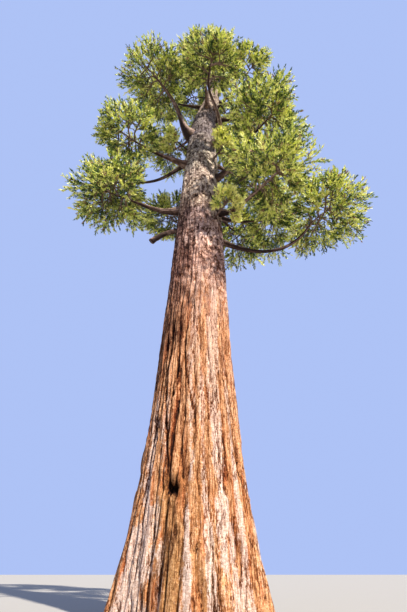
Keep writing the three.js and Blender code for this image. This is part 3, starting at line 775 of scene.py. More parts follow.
def banded(height, around, ragged, bands):
    """The strength of the strongest of some upright bands with ragged sides and ends."""
    strength = np.zeros(height.shape)
    for width, most, heights, bearings in bands:
        foot, head = heights[0], heights[-1]
        off = np.abs(turn_between(around, np.interp(height, heights, bearings))) / width
        side = smoothstep(*BAND_SIDES, off + BAND_RAGGED[0] * ragged)
        start = smoothstep(foot + BAND_FOOT[0], foot + BAND_FOOT[1], height + BAND_RAGGED[1] * ragged)
        end = smoothstep(BAND_HEAD[0] * head, head + BAND_HEAD[1], height + BAND_RAGGED[2] * ragged)
        strength = np.maximum(strength, most * start * (1 - end) * (1 - side))
    return strength


def ovals(height, around, places):
    """For each place (height, bearing, half height, half width, amount): its amount, fading to its rim."""
    total = np.zeros(height.shape)
    for middle, bearing, tall, wide, amount in places:
        aside = np.radians(turn_between(around, bearing)) * round_radius(height)
        off = np.hypot((height - middle) / tall, aside / wide)
        total += amount * (1 - smoothstep(*OVAL_RIM, off))
    return total


def deep_furrows(height, around, ragged):
    """How dark the few long furrows are with painted shade, as a share, and how deep in metres."""
    share = np.zeros(height.shape)
    metres = np.zeros(height.shape)
    for width, depth, heights, bearings in DEEP_FURROWS:
        foot, head = heights[0], heights[-1]
        off = np.abs(turn_between(around, np.interp(height, heights, bearings))) / width
        here = 1 - smoothstep(*FURROW_SIDES, off + FURROW_RAGGED * ragged)
        here = here * smoothstep(foot - FURROW_FOOT, foot + FURROW_FOOT, height)
        here = here * (1 - smoothstep(FURROW_HEAD * head, head, height))
        share = np.maximum(share, here)
        metres = np.maximum(metres, here * depth)
    return FURROW_DARKNESS * share * smoothstep(*FURROW_DARK_FROM, height), metres


def bark_relief(height, around):
    """The bark's height over the trunk's form in metres, and what its colours go by, each from 0 to 1."""
    rng = np.random.default_rng(BARK_SEED)

    def noise(layers, sideways=0):
        return sum(most * ring_noise(rng, around + sideways, height, *cells) for most, *cells in layers)

    drift = noise(DRIFT)
    ragged = noise(RAGGED)
    along = height + noise(PLATE_ENDS)
    border, cell = plates(rng, around + drift + ragged, along, *PLATES)
    fine_border, fine_cell = plates(rng, around + drift + FINE_PLATE_RAGGED * ragged, along, *FINE_PLATES)
    fibre = noise(FIBRES, drift)
    broad = noise(BROAD_TONES)
    rough = noise(ROUGHNESS)
    width = FURROW_WIDTH + noise(FURROW_WIDTHS)
    shelf = noise(SHELVES, ragged)
    long_share, long_depth = deep_furrows(height, around, rough)
    holes = ovals(height, around, KNOT_HOLES)
    features = {
        "furrow": smoothstep(0, 1, (border - FURROW_FLOOR) / width) - 1,
        "fine furrow": smoothstep(0, FINE_FURROW_WIDTH, fine_border) - 1,
        "fibre": fibre,
        "plate": cell - 0.5,
        "shelf": shelf,
        "long furrow": long_share,
        "hole": holes,
        "cell": cell,
        "fine cell": fine_cell,
        "broad": broad,
        "pale band": banded(height, around, rough, PALE_BANDS),
    }

    def together(amounts, start=0.0):
        return sum((amount * features[name] for name, amount in amounts.items()), start)

    slimness = np.clip(round_radius(height) / BOLE_RADIUS, *RELIEF_SLIMNESS)
    relief = together(BARK_RELIEF) * slimness**RELIEF_POWER
    relief = relief - long_depth - holes + ovals(height, around, BURLS)
    ochre = banded(height, around, rough, OCHRE_PATCHES) * mix(OCHRE_BY_BROAD_TONE, broad)
    tones = {
        "stand": together(STAND, STAND_OF_RIDGES),
        "pale": together(PALENESS),
        "ochre": ochre,
        "dark_bark_and_shade": banded(height, around, rough, DARK_BARK_AND_SHADE_BANDS),
    }
    return relief, {name: np.clip(values, 0, 1) for name, values in tones.items()}


def trunk_piece(material):
    height = TRUNK_TOP * (np.arange(TRUNK_RINGS + 1) / TRUNK_RINGS) ** RING_CROWDING
    around = np.arange(TRUNK_SIDES) * FULL_TURN / TRUNK_SIDES
    height, around = np.meshgrid(height, around, indexing="ij")
    relief, tones = bark_relief(height, around)
    radius = trunk_radius(height, around) + relief
    spokes = np.stack([np.cos(around), np.sin(around), np.zeros_like(around)], axis=-1)
    places = (trunk_middle(height) + spokes * radius[..., None]).reshape(-1, 3)
    ring = np.arange(TRUNK_SIDES)
    ends = [ring[::-1][None], (TRUNK_RINGS * TRUNK_SIDES + ring)[None]]
    faces = [grid_faces(TRUNK_RINGS + 1, TRUNK_SIDES), *ends]
    wall_uvs = grid_uvs(TRUNK_RINGS + 1, TRUNK_SIDES).reshape(-1, 2)
    end_uvs = np.repeat([(0.5, 0.0), (0.5, 1.0)], TRUNK_SIDES, axis=0)
    uvs = np.concatenate([wall_uvs, end_uvs])
    return mesh_object("trunk_bark", places, faces, True, [material], uvs=uvs, attributes=tones)


LIMB_SEED = 21
LIMB_SIDES = 14
LIMB_STEPS = 42
LIMB_SUNK = 0.45  # how far inside the trunk's surface a limb starts
STUB_FROM = 0.3  # the share of the broken limb's length where its bark starts, inside the trunk
STUB_ASIDE = np.array([0.0, 1.0, 0.0])
STEM_STEPS = 14
STEM_TIP_RADIUS = 0.02
TRUNK_STEM_RADIUS = 2 * STEM_END_RADIUS  # at the start of a stem that leaves the trunk itself
LUMP_SPREAD = 0.035  # how much more or less the radius is from one ring to the next
LUMP_LIMIT = 0.14
RIDGE_SPREAD = 0.06
LIMB_TONE_SWING = 4
LIMB_UV_MARGIN = 0.03


def limb_piece(boughs, stub, stems, trunk_stems, material):
    """All limbs with their bark: each bough with the stem that goes on from it, and the broken limb."""
    rng = np.random.default_rng(LIMB_SEED)
    shares = np.linspace(0, 1, LIMB_STEPS)
    stem_shares = np.linspace(0, 1, STEM_STEPS + 1)[1:]
    paths, radii, asides = [], [], []
    for plan, stem in zip(boughs, stems):
        first = max(0, (plan["bare_from"] - LIMB_SUNK) / plan["span"])
        along = first + (1 - first) * shares
        stem_radii = mix((STEM_SHARE * bough_radius(plan, 1), STEM_TIP_RADIUS), stem_shares)
        paths.append(np.concatenate([plan["curve"].along(along), stem.along(stem_shares)]))
        radii.append(np.concatenate([bough_radius(plan, along), stem_radii]))
        asides.append(plan["aside"])
    total = LIMB_STEPS + STEM_STEPS
    whole = np.linspace(0, 1, total)
    stub_shares = mix((STUB_FROM, 1), whole)
    paths.append(stub.along(stub_shares))
    radii.append(stub_radius(stub_shares))
    asides.append(STUB_ASIDE)
    for mass, stem in trunk_stems:
        paths.append(stem.along(whole))
        radii.append(mix((TRUNK_STEM_RADIUS, STEM_TIP_RADIUS), whole))
        asides.append(np.cross(UP, mass["out"]))
    paths = np.array(paths)
    count = len(paths)
    lumps = np.cumsum(rng.normal(0, LUMP_SPREAD, (count, total, LIMB_SIDES)), axis=1)
    lumps -= lumps.mean(axis=1, keepdims=True)
    lumps = 0.5 * (lumps + np.roll(lumps, 1, axis=2))
    ridges = RIDGE_SPREAD * rng.normal(0, 1, (count, 1, LIMB_SIDES))
    swollen = 1 + np.clip(lumps, -LUMP_LIMIT, LUMP_LIMIT) + ridges
    places, walls, ends = tubes(paths, np.array(radii)[:, :, None] * swollen, np.array(asides), LIMB_SIDES)
    tones = {"stand": np.clip(0.5 + (lumps + ridges) * LIMB_TONE_SWING, 0, 1)}

    strip = grid_uvs(total, LIMB_SIDES).reshape(-1, 2) * (1 - 2 * LIMB_UV_MARGIN, 1) + (LIMB_UV_MARGIN, 0)
    strips = np.arange(count)[:, None, None] * (1, 0) + strip
    strip_ends = np.repeat(np.arange(count)[:, None] * (1, 0) + (0.5, 1.0), LIMB_SIDES, axis=0)
    uvs = np.concatenate([strips.reshape(-1, 2), strip_ends]) / (count, 1)
    return mesh_object("limb_bark", places, [walls, ends], True, [material], uvs=uvs, attributes=tones)


# Foliage


def spray_templates():
    """Sprays along +Z, of unit length: an array of each kind's points, three for each needle."""
    rng = np.random.default_rng(SPRAY_SEED)
    templates = []
    for _ in range(SPRAY_KINDS):
        points = []
        for n in range(SPRAY_NEEDLES):
            share = n / (SPRAY_NEEDLES - 1)
            turn = n * GOLDEN_ANGLE + rng.uniform(-NEEDLE_TURN_SPREAD, NEEDLE_TURN_SPREAD)
            tilt = mix(NEEDLE_TILT, share) + rng.uniform(-NEEDLE_TILT_SPREAD, NEEDLE_TILT_SPREAD)
            length = mix(NEEDLE_LENGTH, share) * rng.uniform(*NEEDLE_LENGTH_SPREAD)
            off = math.sin(tilt)
            way = np.array([off * math.cos(turn), off * math.sin(turn), math.cos(tilt)])
            side = unit(np.cross(way, rng.normal(0, 1, 3))) * NEEDLE_WIDTH / 2
            foot = np.array([0, 0, NEEDLE_FEET * share])
            points += [foot - side, foot + way * length, foot + side]
        templates.append(np.array(points))
    return np.array(templates)


def frames_for(ways, rng):
    """A turned frame for each direction: (n, 3, 3), its last row the direction."""
    helper = unit(rng.normal(0, 1, ways.shape))
    first = unit(np.cross(ways, helper))
    second = np.cross(ways, first)
    return np.stack([first, second, ways], axis=1)


def twig_curve(rng, foot, heading, root, tip):
    """A twig that leaves its foot along a heading and goes on past the tuft's root into the tuft."""
    reach = np.linalg.norm(root - foot)
    stray = rng.normal(0, TWIG_BEND, 3) * reach + UP * TWIG_LIFT * reach
    first = foot + heading * TWIG_HANDLES[0] * reach + stray / 2
    second = root + stray - (tip - root) * TWIG_HANDLES[1]
    return Curve(foot, first, second, mix((root, tip), TWIG_END))


def grow_twigs(rng, mass, stem, ruled, filled):
    """The curve and radii of each twig: those of the rule leave the stem, and the others fork off them."""
    grown = []
    for foot, root, tip in ruled:
        heading = unit(unit(root - foot) + TWIG_OUTWARD * mass["out"])
        grown.append((twig_curve(rng, foot, heading, root, tip), TWIG_RADII))
    parents = [twig.along(np.array(FORK_SHARES)) for twig, _ in grown]
    parents.append(stem.along(np.linspace(*STEM_FORKS, len(FORK_SHARES))))
    points = np.array(parents)
    headings = unit(np.gradient(points, axis=1)).reshape(-1, 3)
    points = points.reshape(-1, 3)
    depth = np.linalg.norm(points - mass["middle"], axis=1)
    for _, root, tip in filled:
        too_far_out = depth > FORK_DEPTH * np.linalg.norm(root - mass["middle"])
        off = np.linalg.norm(points - root, axis=1) + FORK_PENALTY * too_far_out
        nearest = int(np.argmin(off))
        grown.append((twig_curve(rng, points[nearest], headings[nearest], root, tip), FORK_RADII))
    return grown


def grow_twiglets(rng, root, tip):
    """The feet and the ends of a tuft's twiglets, which spread over its dome."""
    along = tip - root
    length = np.linalg.norm(along)
    way = along / length
    order = np.arange(TWIGLETS)
    cosine = mix(TWIGLET_COSINES, (order + rng.uniform(*TWIGLET_PLACES, TWIGLETS)) / TWIGLETS)
    turn = rng.uniform(0, FULL_TURN) + order * GOLDEN_ANGLE
    first = unit(np.cross(way, UP + NUDGE * rng.normal(0, 1, 3)))
    second = np.cross(way, first)
    sine = np.sqrt(1 - cosine**2)
    spokes = first * np.cos(turn)[:, None] + second * np.sin(turn)[:, None]
    reach = length * rng.uniform(*TWIGLET_REACH, TWIGLETS)
    ends = root + along * TUFT_DOME[0] + way * (cosine * TUFT_DOME[1] * reach)[:, None]
    ends = ends + spokes * (sine * TUFT_DOME[2] * reach)[:, None]
    feet = root + along * mix(TWIGLET_FEET, order / TWIGLETS)[:, None]
    return feet, ends


def grow_sprays(rng, twig, feet, ends):
    """The places, directions and tones of a tuft's sprays, on its twiglets and on its twig."""
    share = mix(SPRAY_PLACES, (np.arange(SPRAYS) + 0.5) / SPRAYS)
    share = share + rng.uniform(-SPRAY_PLACE_SPREAD, SPRAY_PLACE_SPREAD, (TWIGLETS, SPRAYS))
    share = np.clip(share, 0, 1)[..., None]
    at = (feet[:, None] * (1 - share) + ends[:, None] * share).reshape(-1, 3)
    ways = np.repeat(unit(ends - feet), SPRAYS, axis=0)
    twig_points = twig.along(np.linspace(*TWIG_SPRAY_PLACES, TWIG_SPRAYS))
    at = np.concatenate([at, twig_points])
    ways = np.concatenate([ways, unit(np.gradient(twig_points, axis=0))])
    at_end = np.concatenate([(share > TWIGLET_END).ravel(), np.zeros(TWIG_SPRAYS, bool)])

    around = rng.normal(0, 1, ways.shape)
    around = unit(around - ways * (around * ways).sum(-1, keepdims=True))
    tilt = (rng.uniform(*SPRAY_TILT, len(at)) * (1 - END_SPRAY_STRAIGHTNESS * at_end))[:, None]
    lift = UP * SPRAY_LIFT * rng.random((len(at), 1))
    directions = unit(ways * np.cos(tilt) + around * np.sin(tilt) + lift)
    own = np.repeat(rng.normal(0, TWIGLET_TONE, TWIGLETS), SPRAYS)
    tones = np.concatenate([own, np.full(TWIG_SPRAYS, TWIG_SPRAY_TONE)])
    return at, directions, tones + rng.normal(0, SPRAY_TONE, len(at))


def tone_of(at, mass, root, tip):
    """How pale and yellow sprays are: more so outside and on top, less inside and under, as painted light
    and shade.
    """
    off = (at - mass["middle"]) / mass["size"]
    outer = np.linalg.norm(off * (1, 1, 1 / MASS_FLATNESS), axis=1)
    within = (at - mix((root, tip), TUFT_DOME[0])) / (TUFT_DOME[2] * np.linalg.norm(tip - root))
    in_mass = MASS_TONES[0] * outer + MASS_TONES[1] * off[:, 2]
    return in_mass + TUFT_TONES[0] * np.linalg.norm(within, axis=1) + TUFT_TONES[1] * within[:, 2]


def dealt(rng, tones):
    """Which material each spray has: a green by its tone, or here and there the dry brown."""
    greens = np.searchsorted(GREEN_BOUNDS, tones)
    brown = rng.random(len(tones)) < BROWN_SHARE
    return np.where(brown, len(GREEN_BOUNDS) + 1, greens)


def grow_mass(mass, index, stem, room):
    """What grows in a mass: where its sprays are and of which kind, and its twigs and twiglets."""
    rng = np.random.default_rng(GROWTH_SEED + mass["seed"])
    steps = np.linspace(0, 1, TWIG_STEPS)
    tufts = rule_tufts(mass, index, stem, room)
    filled = fill_tufts(mass, index, stem, room)
    twigs = grow_twigs(rng, mass, stem, tufts, filled)
    grown = {"at": [], "ways": [], "kinds": [], "twigs": [], "radii": [], "twiglets": []}
    for (twig, radii), (_, root, tip) in zip(twigs, tufts + filled):
        feet, ends = grow_twiglets(rng, root, tip)
        at, directions, tones = grow_sprays(rng, twig, feet, ends)
        height = at[:, 2]
        # Painted light and shade: paler outside, on top, on the trunk's tufts, and at the top and bottom of
        # the crown.
        tones += tone_of(at, mass, root, tip) + rng.normal(0, TUFT_TONE) + TRUNK_TUFT_TONE * mass["on_trunk"]
        tones += TOP_TONE * smoothstep(*TOP_FADE, height) + LOW_TONE * (1 - smoothstep(*LOW_FADE, height))
        keep = ~hides_what_shows(at) & (height < TREE_TOP)
        grown["at"].append(at[keep])
        grown["ways"].append(directions[keep])
        grown["kinds"].append(dealt(rng, tones[keep]))
        grown["twigs"].append(twig.along(steps)[None])
        grown["radii"].append(np.interp(steps, TWIG_RADIUS_PLACES, radii)[None])
        grown["twiglets"].append(np.stack([feet, ends], axis=1))
    return {"name": mass["name"], **{key: np.concatenate(parts) for key, parts in grown.items()}}


def joined(grown, key):
    return np.concatenate([item[key] for item in grown])


def twig_piece(grown, materials):
    """The twigs of all masses, with the first material, and their twiglets, with the second."""
    twiglets = joined(grown, "twiglets")
    kinds = (
        (joined(grown, "twigs"), joined(grown, "radii"), TWIG_SIDES),
        (twiglets, np.tile(TWIGLET_RADII, (len(twiglets), 1)), TWIGLET_SIDES),
    )
    places, faces, which = [], [], []
    shift = 0
    for kind, (paths, radii, sides) in enumerate(kinds):
        aside = unit(np.cross(paths[:, -1] - paths[:, 0], UP + NUDGE))
        points, walls, ends = tubes(paths, radii, aside, sides)
        places.append(points)
        faces += [walls + shift, ends + shift]
        which.append(np.full(len(walls) + len(ends), kind))
        shift += len(points)
    which = np.concatenate(which)
    return mesh_object("foliage_twigs", np.concatenate(places), faces, True, materials, which=which)


def leaf_pieces(grown, materials):
    """The sprays of every mass, joined into pieces that each stand for some of the masses."""
    templates = spray_templates()
    groups, group, count = [], [], 0
    for item in grown:
        needed = len(item["at"]) * SPRAY_NEEDLES
        if count + needed > PIECE_TRIANGLES and group:
            groups.append(group)
            group, count = [], 0
        group.append(item)
        count += needed
    groups.append(group)
    made = []
    for number, group in enumerate(groups, 1):
        rng = np.random.default_rng(PIECE_SEED + number)
        at = joined(group, "at")
        frames = frames_for(joined(group, "ways"), rng)
        lengths = SPRAY_LENGTH * (1 + SPRAY_LENGTH_SPREAD * rng.uniform(-1, 1, len(at)))
        chosen = templates[rng.integers(0, SPRAY_KINDS, len(at))]
        places = at[:, None] + np.einsum("npk,nkj->npj", chosen, frames) * lengths[:, None, None]
        places = places.reshape(-1, 3)
        faces = [np.arange(len(places)).reshape(-1, 3)]
        which = np.repeat(joined(group, "kinds"), SPRAY_NEEDLES)
        piece = mesh_object(f"foliage_sprays_{number}", places, faces, False, materials, which=which)
        made.append((piece, [item["name"] for item in group]))
    return made


# Materials


GREENS = (  # linear colours, from the inner sprays to the outermost
    (0.045, 0.09, 0.018),
    (0.19, 0.28, 0.05),
    (0.45, 0.5, 0.1),
    (0.65, 0.71, 0.14),
    (0.83, 0.87, 0.2),
    (0.95, 0.92, 0.32),
)
DRY_BROWN = (0.33, 0.2, 0.11)
TWIG_BROWN = (0.19, 0.125, 0.09)
TWIGLET_GREEN = (0.12, 0.14, 0.04)
TRUNK_GLOSS = (0.92, 0.1)  # roughness, and specular level
LIMB_GLOSS = (0.9, 0.15)
TWIG_GLOSS = (0.85, 0.2)
TWIGLET_GLOSS = (0.8, 0.2)  # also of dry sprays
SPRAY_GLOSS = (0.55, 0.35)

TRUNK_GRAIN = {  # of each noise: its scale along the axes, detail and roughness
    "streaks": ((6, 6, 0.45), 5, 0.6),
    "fibres": ((17, 17, 5.5), 5, 0.72),
    "flakes": ((22, 22, 20), 4, 0.78),
    "wrinkles": ((5.5, 5.5, 17), 5, 0.75),
    "long cracks": ((9, 9, 0.7), 4, 0.6),
    "short cracks": ((20, 20, 2.2), 4, 0.65),
    "blotches": ((5.5, 5.5, 3.0), 7, 0.82),
    "dappled_shadow": ((2.8, 2.8, 2.2), 6, 0.72),
    "branch_shadows": ((0.8, 0.8, 3.4), 5, 0.6),
    "shade": ((0.6, 0.6, 0.6), 3, 0.6),
}
TRUNK_LINES = {"wrinkles": 0.055, "long cracks": 0.03, "short cracks": 0.04, "branch_shadows": 0.05}  # widths
TRUNK_FADES = {  # between which values a share changes, and what it is at either end if not 0 and 1
    "streaks": (0.5, 0.66, 0, 0.6),
    "ochre": (0.1, 0.4, 0, 0.62),
    "plate": (0.42, 0.74),
    "plate lift": (0.55, 0.85, 0, 0.14),
    "plate top": (0.36, 0.66),
    "bleach": (0.35, 0.75),
    "bleached plate": (0.3, 0.7, 0.4, 1),
    "wrinkles": (0, 1, 0.65, 0),
    "blotches": (0.44, 0.52),
    "dappled_shadow": (0.44, 0.475, 0.95, 0),
    "branch_shadows": (0, 1, 0.9, 0),
    "dark_bark_and_shade": (0.5, 1.0, 1, 0.6),
}
TRUNK_RISES = {  # between which heights a share rises from 0, and what it reaches
    "bleach": (2.2, 5.5, 0.55),
    "silver loss": (2.6, 5.5, 0.3),
    "dappled_shadow": (7.5, 10.5, 0.9),
    "greyed": (11.0, 19.0, 1.0),
    "mottled": (7.2, 12.0, 0.93),
}
ROUGH_SWING = 2.5  # how strongly fibres and flakes count beside the relief
PLATE_SWING = 0.9
SHORT_CRACK_DEPTH = 0.45
CRACK_DEPTH = 0.72
SILVER_SHARE = 0.78
WOOD = (  # from the floor of a furrow to the top of a ridge
    (0.0, (0.014, 0.006, 0.004)),
    (0.16, (0.06, 0.018, 0.008)),
    (0.34, (0.24, 0.075, 0.023)),
    (0.6, (0.5, 0.22, 0.085)),
    (0.95, (0.69, 0.375, 0.19)),
)
# The blotches' darkest stops are painted shade of the crown, the rest weathered bark.
RUSTY_AND_SHADED = ((0, (0.05, 0.022, 0.015)), (0.36, (0.62, 0.34, 0.215)), (0.85, (1.0, 0.8, 0.66)))
GREYED_AND_SHADED = ((0, (0.045, 0.033, 0.026)), (0.42, (0.5, 0.41, 0.335)), (0.95, (0.96, 0.87, 0.74)))
STREAK_TINT = (0.75, 0.3, 0.1)
OCHRE = (0.34, 0.195, 0.07)
BLEACHED = (0.78, 0.465, 0.295)
SILVER = (0.73, 0.58, 0.49)
WRINKLE_TINT = (0.5, 0.35, 0.26)
# Painted shadow of the crown on the upper trunk, in dapples and arcs.
DAPPLED_SHADOW_TINT = (0.3, 0.235, 0.24)
DARK_BARK_AND_SHADE_TINT = (0.18, 0.11, 0.1)
SHADED_BARK = (  # height in metres, and what the bark's colour is multiplied by there
    (6.5, (1.0, 1.0, 1.0)),
    (9.2, (1.0, 0.93, 0.92)),
    (10.6, (0.84, 0.68, 0.65)),
    (11.3, (0.7, 0.56, 0.52)),
    (12.1, (1.0, 0.9, 0.9)),
    (13.0, (0.6, 0.5, 0.5)),
    (13.7, (0.4, 0.34, 0.37)),
    (14.8, (0.95, 0.9, 0.8)),
    (16.0, (0.92, 0.84, 0.74)),
    (17.2, (0.74, 0.66, 0.62)),
    (19.0, (0.85, 0.82, 0.74)),
    (20.6, (0.56, 0.53, 0.49)),
    (22.5, (0.31, 0.29, 0.34)),
    (25.5, (0.36, 0.33, 0.34)),
    (28.5, (0.56, 0.49, 0.44)),
)
SHADE_WAVER = 0.08  # how far these heights wander round the trunk, as a share of the tree's
TRUNK_BUMP = (0.045, 0.9)  # distance and strength
CRACK_BUMP = 0.5

LIMB_GRAIN = ((8, 8, 8), 5, 0.75)
LIMB_WOOD = ((0.4, (0.026, 0.015, 0.012)), (0.56, (0.105, 0.06, 0.044)), (0.76, (0.4, 0.28, 0.225)))
LIMB_STAND_SHARE = 0.35
LIMB_BUMP = (0.03, 0.5)


def add_node(tree, kind, **settings):
    node = tree.nodes.new(kind)
    for key, value in settings.items():
        if key in node.inputs:
            node.inputs[key].default_value = value
        else:
            setattr(node, key, value)
    return node


def feed(tree, source, socket):
    """Gives a node's input another node's signal, a colour or a number."""
    if isinstance(source, Signal):
        tree.links.new(source.socket, socket)
    else:
        socket.default_value = (*source, 1) if isinstance(source, tuple) else source


def reckoned(tree, operation, first, second):
    node = add_node(tree, "ShaderNodeMath", operation=operation)
    feed(tree, first, node.inputs[0])
    feed(tree, second, node.inputs[1])
    return Signal(tree, node.outputs["Value"])


class Signal:
    """What a shader node gives, a number or a colour. Each thing that is done with it adds a node."""

    def __init__(self, tree, socket):
        self.tree = tree
        self.socket = socket

    def __add__(self, other):
        return reckoned(self.tree, "ADD", self, other)

    def __sub__(self, other):
        return reckoned(self.tree, "SUBTRACT", self, other)

    def __rsub__(self, other):
        return reckoned(self.tree, "SUBTRACT", other, self)

    def __mul__(self, other):
        return reckoned(self.tree, "MULTIPLY", self, other)

    def __abs__(self):
        return reckoned(self.tree, "ABSOLUTE", self, 0.0)

    def stronger(self, other):
        return reckoned(self.tree, "MAXIMUM", self, other)

    def lessened(self, most):
        """1 where this is 1, and most less where it is 0."""
        return self * most + (1 - most)

    def ramp(self, stops):
        node = add_node(self.tree, "ShaderNodeValToRGB")
        band = node.color_ramp
        while len(band.elements) < len(stops):
            band.elements.new(0.5)
        for element, (place, colour) in zip(band.elements, stops):
            element.position = place
            element.color = (*colour, 1)
        feed(self.tree, self, node.inputs["Fac"])
        return Signal(self.tree, node.outputs["Color"])

    def fade(self, low, high, dark=0, light=1):
        return self.ramp([(low, (dark,) * 3), (high, (light,) * 3)])

    def line(self, width):
        """Thin wandering lines, 0 on a line and 1 beside it, where a noise passes its middle."""
        return abs(self - 0.5).fade(0.25 * width, width)

    def blend(self, colour, share, mode="MIX"):
        node = add_node(self.tree, "ShaderNodeMix", data_type="RGBA", blend_type=mode)
        sockets = {socket.identifier: socket for socket in node.inputs}
        for name, source in (("A_Color", self), ("B_Color", colour), ("Factor_Float", share)):
            feed(self.tree, source, sockets[name])
        return Signal(self.tree, next(s for s in node.outputs if s.identifier == "Result_Color"))

    def tint(self, colour, share):
        return self.blend(colour, share, "MULTIPLY")


def new_material(name, roughness, specular):
    material = bpy.data.materials.new(name)
    material.use_nodes = True
    shader = material.node_tree.nodes["Principled BSDF"]
    shader.inputs["Roughness"].default_value = roughness
    shader.inputs["Specular IOR Level"].default_value = specular
    return material, material.node_tree, shader


def plain_material(name, colour, gloss):
    material, _, shader = new_material(name, *gloss)
    shader.inputs["Base Color"].default_value = (*colour, 1)
    return material


def stretched_noise(tree, scale, detail, roughness):
    """Noise in the object's own coordinates, with a scale for each axis."""
    place = add_node(tree, "ShaderNodeTexCoord")
    stretch = add_node(tree, "ShaderNodeVectorMath", operation="MULTIPLY")
    stretch.inputs[1].default_value = scale
    noise = add_node(tree, "ShaderNodeTexNoise", Scale=1.0, Detail=detail, Roughness=roughness)
    tree.links.new(place.outputs["Object"], stretch.inputs[0])
    tree.links.new(stretch.outputs["Vector"], noise.inputs["Vector"])
    return Signal(tree, noise.outputs["Fac"])


def height_share(tree, low, high, most, curve="SMOOTHSTEP"):
    """Rises from 0 at one height in metres to a share at another."""
    place = add_node(tree, "ShaderNodeTexCoord")
    split = add_node(tree, "ShaderNodeSeparateXYZ")
    span = add_node(tree, "ShaderNodeMapRange", interpolation_type=curve)
    span.inputs["From Min"].default_value = low
    span.inputs["From Max"].default_value = high
    span.inputs["To Max"].default_value = most
    tree.links.new(place.outputs["Object"], split.inputs["Vector"])
    tree.links.new(split.outputs["Z"], span.inputs["Value"])
    return Signal(tree, span.outputs["Result"])


def attribute(tree, name):
    return Signal(tree, add_node(tree, "ShaderNodeAttribute", attribute_name=name).outputs["Fac"])


def add_bump(tree, shader, height, distance, strength):
    bump = add_node(tree, "ShaderNodeBump", Distance=distance, Strength=strength)
    feed(tree, height, bump.inputs["Height"])
    tree.links.new(bump.outputs["Normal"], shader.inputs["Normal"])


def crown_shade(tree, waver):
    """How dark the bark is by height, where the crown shades it."""
    level = height_share(tree, 0.0, TREE_TOP, 1.0, "LINEAR") + waver * SHADE_WAVER
    return level.ramp([(height / TREE_TOP + 0.5 * SHADE_WAVER, colour) for height, colour in SHADED_BARK])


def trunk_bark_material():
    material, tree, shader = new_material("bark of the trunk", *TRUNK_GLOSS)
    stand, pale, ochre, dark_bark_and_shade = [attribute(tree, name) for name in ("stand", "pale", "ochre", "dark_bark_and_shade")]
    grain = {name: stretched_noise(tree, *noise) for name, noise in TRUNK_GRAIN.items()}
    lines = {name: grain[name].line(width) for name, width in TRUNK_LINES.items()}

    def faded(signal, name):
        return signal.fade(*TRUNK_FADES[name])

    def risen(name):
        return height_share(tree, *TRUNK_RISES[name])

    rough = grain["fibres"] * 0.5 + grain["flakes"] * 0.5
    swing = (rough - 0.5) * ROUGH_SWING
    cracked = lines["long cracks"] * lines["short cracks"].lessened(SHORT_CRACK_DEPTH)
    depth = (stand + swing) * cracked.lessened(CRACK_DEPTH)

    colour = depth.ramp(WOOD)
    colour = colour.tint(STREAK_TINT, faded(grain["streaks"], "streaks"))
    colour = colour.blend(OCHRE, ochre * faded(depth, "ochre"))
    bleach = faded(depth, "bleach") * risen("bleach") * faded(pale, "bleached plate")
    colour = colour.blend(BLEACHED, bleach)
    raised = faded(depth + faded(pale, "plate lift"), "plate top")
    plate = faded(pale + swing * PLATE_SWING, "plate") * raised
    colour = colour.blend(SILVER, plate * (SILVER_SHARE - risen("silver loss")))
    colour = colour.tint(WRINKLE_TINT, faded(lines["wrinkles"], "wrinkles"))

    # Rusty and grey weathered bark in blotches, whose darkest parts are painted shade.
    blotches = faded(grain["blotches"], "blotches")
    weathered_and_shaded = blotches.ramp(RUSTY_AND_SHADED).blend(blotches.ramp(GREYED_AND_SHADED), risen("greyed"))
    colour = colour.blend(weathered_and_shaded, risen("mottled"))
    # Painted shadow: dappled shade and the dark arcs of branches' shadows on the upper trunk.
    dappled_shadow = faded(grain["dappled_shadow"], "dappled_shadow").stronger(faded(lines["branch_shadows"], "branch_shadows"))
    colour = colour.tint(DAPPLED_SHADOW_TINT, dappled_shadow * risen("dappled_shadow"))
    colour = colour.tint(crown_shade(tree, grain["shade"]), 1.0)
    # Painted shade on the left flank and in a few gashes, deepest in the furrows, with darker bark round the
    # back.
    colour = colour.tint(DARK_BARK_AND_SHADE_TINT, dark_bark_and_shade * faded(depth, "dark_bark_and_shade"))
    feed(tree, colour, shader.inputs["Base Color"])
    add_bump(tree, shader, rough + cracked * CRACK_BUMP, *TRUNK_BUMP)
    return material


def limb_bark_material():
    material, tree, shader = new_material("bark of the limbs", *LIMB_GLOSS)
    grain = stretched_noise(tree, *LIMB_GRAIN)
    value = attribute(tree, "stand") * LIMB_STAND_SHARE + grain * (1 - LIMB_STAND_SHARE)
    feed(tree, value.ramp(LIMB_WOOD), shader.inputs["Base Color"])
    add_bump(tree, shader, grain, *LIMB_BUMP)
    return material


def twig_materials():
    twigs = plain_material("bark of the twigs", TWIG_BROWN, TWIG_GLOSS)
    return [twigs, plain_material("bark of the twiglets", TWIGLET_GREEN, TWIGLET_GLOSS)]


def leaf_materials():
    greens = [plain_material(f"sprays green {i}", colour, SPRAY_GLOSS) for i, colour in enumerate(GREENS, 1)]
    return [*greens, plain_material("sprays dry", DRY_BROWN, TWIGLET_GLOSS)]


# The tree


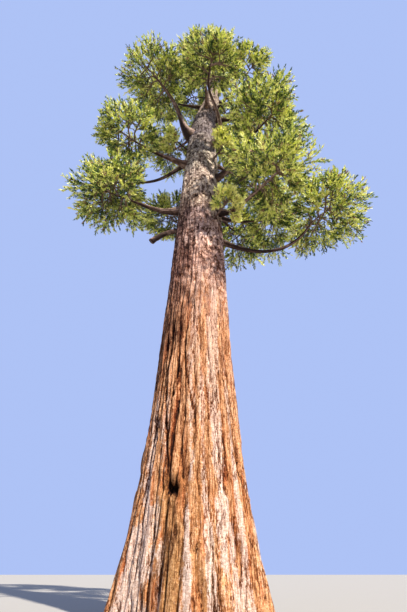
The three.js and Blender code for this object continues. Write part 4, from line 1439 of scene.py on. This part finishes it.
def build_tree():
    boughs = plan_boughs()
    stub = stub_curve()
    trunk_masses = [plan_trunk_mass(*m, TRUNK_MASS_SEED + i) for i, m in enumerate(TRUNK_MASSES)]
    masses = [plan["mass"] for plan in boughs] + trunk_masses
    stems = [stem_curve(mass) for mass in masses]
    room = Room(boughs, stub, masses)

    trunk = trunk_piece(trunk_bark_material())
    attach(trunk, "root")
    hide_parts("trunk")

    trunk_stems = list(zip(trunk_masses, stems[len(boughs) :]))
    limbs = limb_piece(boughs, stub, stems, trunk_stems, limb_bark_material())
    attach(limbs, "root")
    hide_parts("broken_limb", *[f"bough_{i + 1:02d}" for i in range(len(boughs))])

    grown = [grow_mass(mass, i, stem, room) for i, (mass, stem) in enumerate(zip(masses, stems))]
    twigs = twig_piece(grown, twig_materials())
    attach(twigs, "root")
    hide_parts(*[mass["name"] for mass in masses])

    for piece, names in leaf_pieces(grown, leaf_materials()):
        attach(piece, "root")
        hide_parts(*names)


# The stage, light and camera


FLOOR_SIZE = 600
FLOOR_COLOUR = (0.3, 0.28, 0.25)
FLOOR_GLOSS = (0.9, 0.1)
SKY_COLOUR = (0.46, 0.59, 1.0)
SKY_STRENGTH = 0.92
SUN_STRENGTH = 9.6
SUN_COLOUR = (1.0, 0.95, 0.86)
SUN_ANGLE = 1.5  # degrees across, for soft shadows
SUN_ELEVATION = math.radians(45)
SUN_SIDE = math.radians(33)  # to the right of straight behind the camera
CAMERA_REACH = 1000


def build_stage():
    bpy.ops.mesh.primitive_plane_add(size=FLOOR_SIZE)
    floor = bpy.context.object
    floor.name = "floor"
    floor.data.materials.append(plain_material("floor", FLOOR_COLOUR, FLOOR_GLOSS))

    world = bpy.data.worlds.new("studio")
    world.use_nodes = True
    background = world.node_tree.nodes["Background"]
    background.inputs["Color"].default_value = (*SKY_COLOUR, 1)
    background.inputs["Strength"].default_value = SKY_STRENGTH
    bpy.context.scene.world = world

    light = bpy.data.lights.new("key light", "SUN")
    light.energy = SUN_STRENGTH
    light.angle = math.radians(SUN_ANGLE)
    light.color = SUN_COLOUR
    sun = bpy.data.objects.new("key light", light)
    level = math.cos(SUN_ELEVATION)
    toward = Vector((level * math.sin(SUN_SIDE), -level * math.cos(SUN_SIDE), math.sin(SUN_ELEVATION)))
    sun.rotation_mode = "QUATERNION"
    sun.rotation_quaternion = toward.to_track_quat("Z", "Y")
    bpy.context.scene.collection.objects.link(sun)


def build_camera():
    camera = bpy.data.objects.new("camera", bpy.data.cameras.new("camera"))
    camera.data.sensor_width = SENSOR
    camera.data.lens = FOCAL_PIXELS * SENSOR / IMAGE_HEIGHT
    camera.data.clip_end = CAMERA_REACH
    camera.location = CAMERA_PLACE
    camera.rotation_euler = (math.radians(90 + CAMERA_PITCH), 0, math.radians(-CAMERA_YAW))
    bpy.context.scene.collection.objects.link(camera)
    bpy.context.scene.camera = camera


bpy.context.scene.view_settings.view_transform = "Standard"
build_camera()
build_tree()
build_stage()
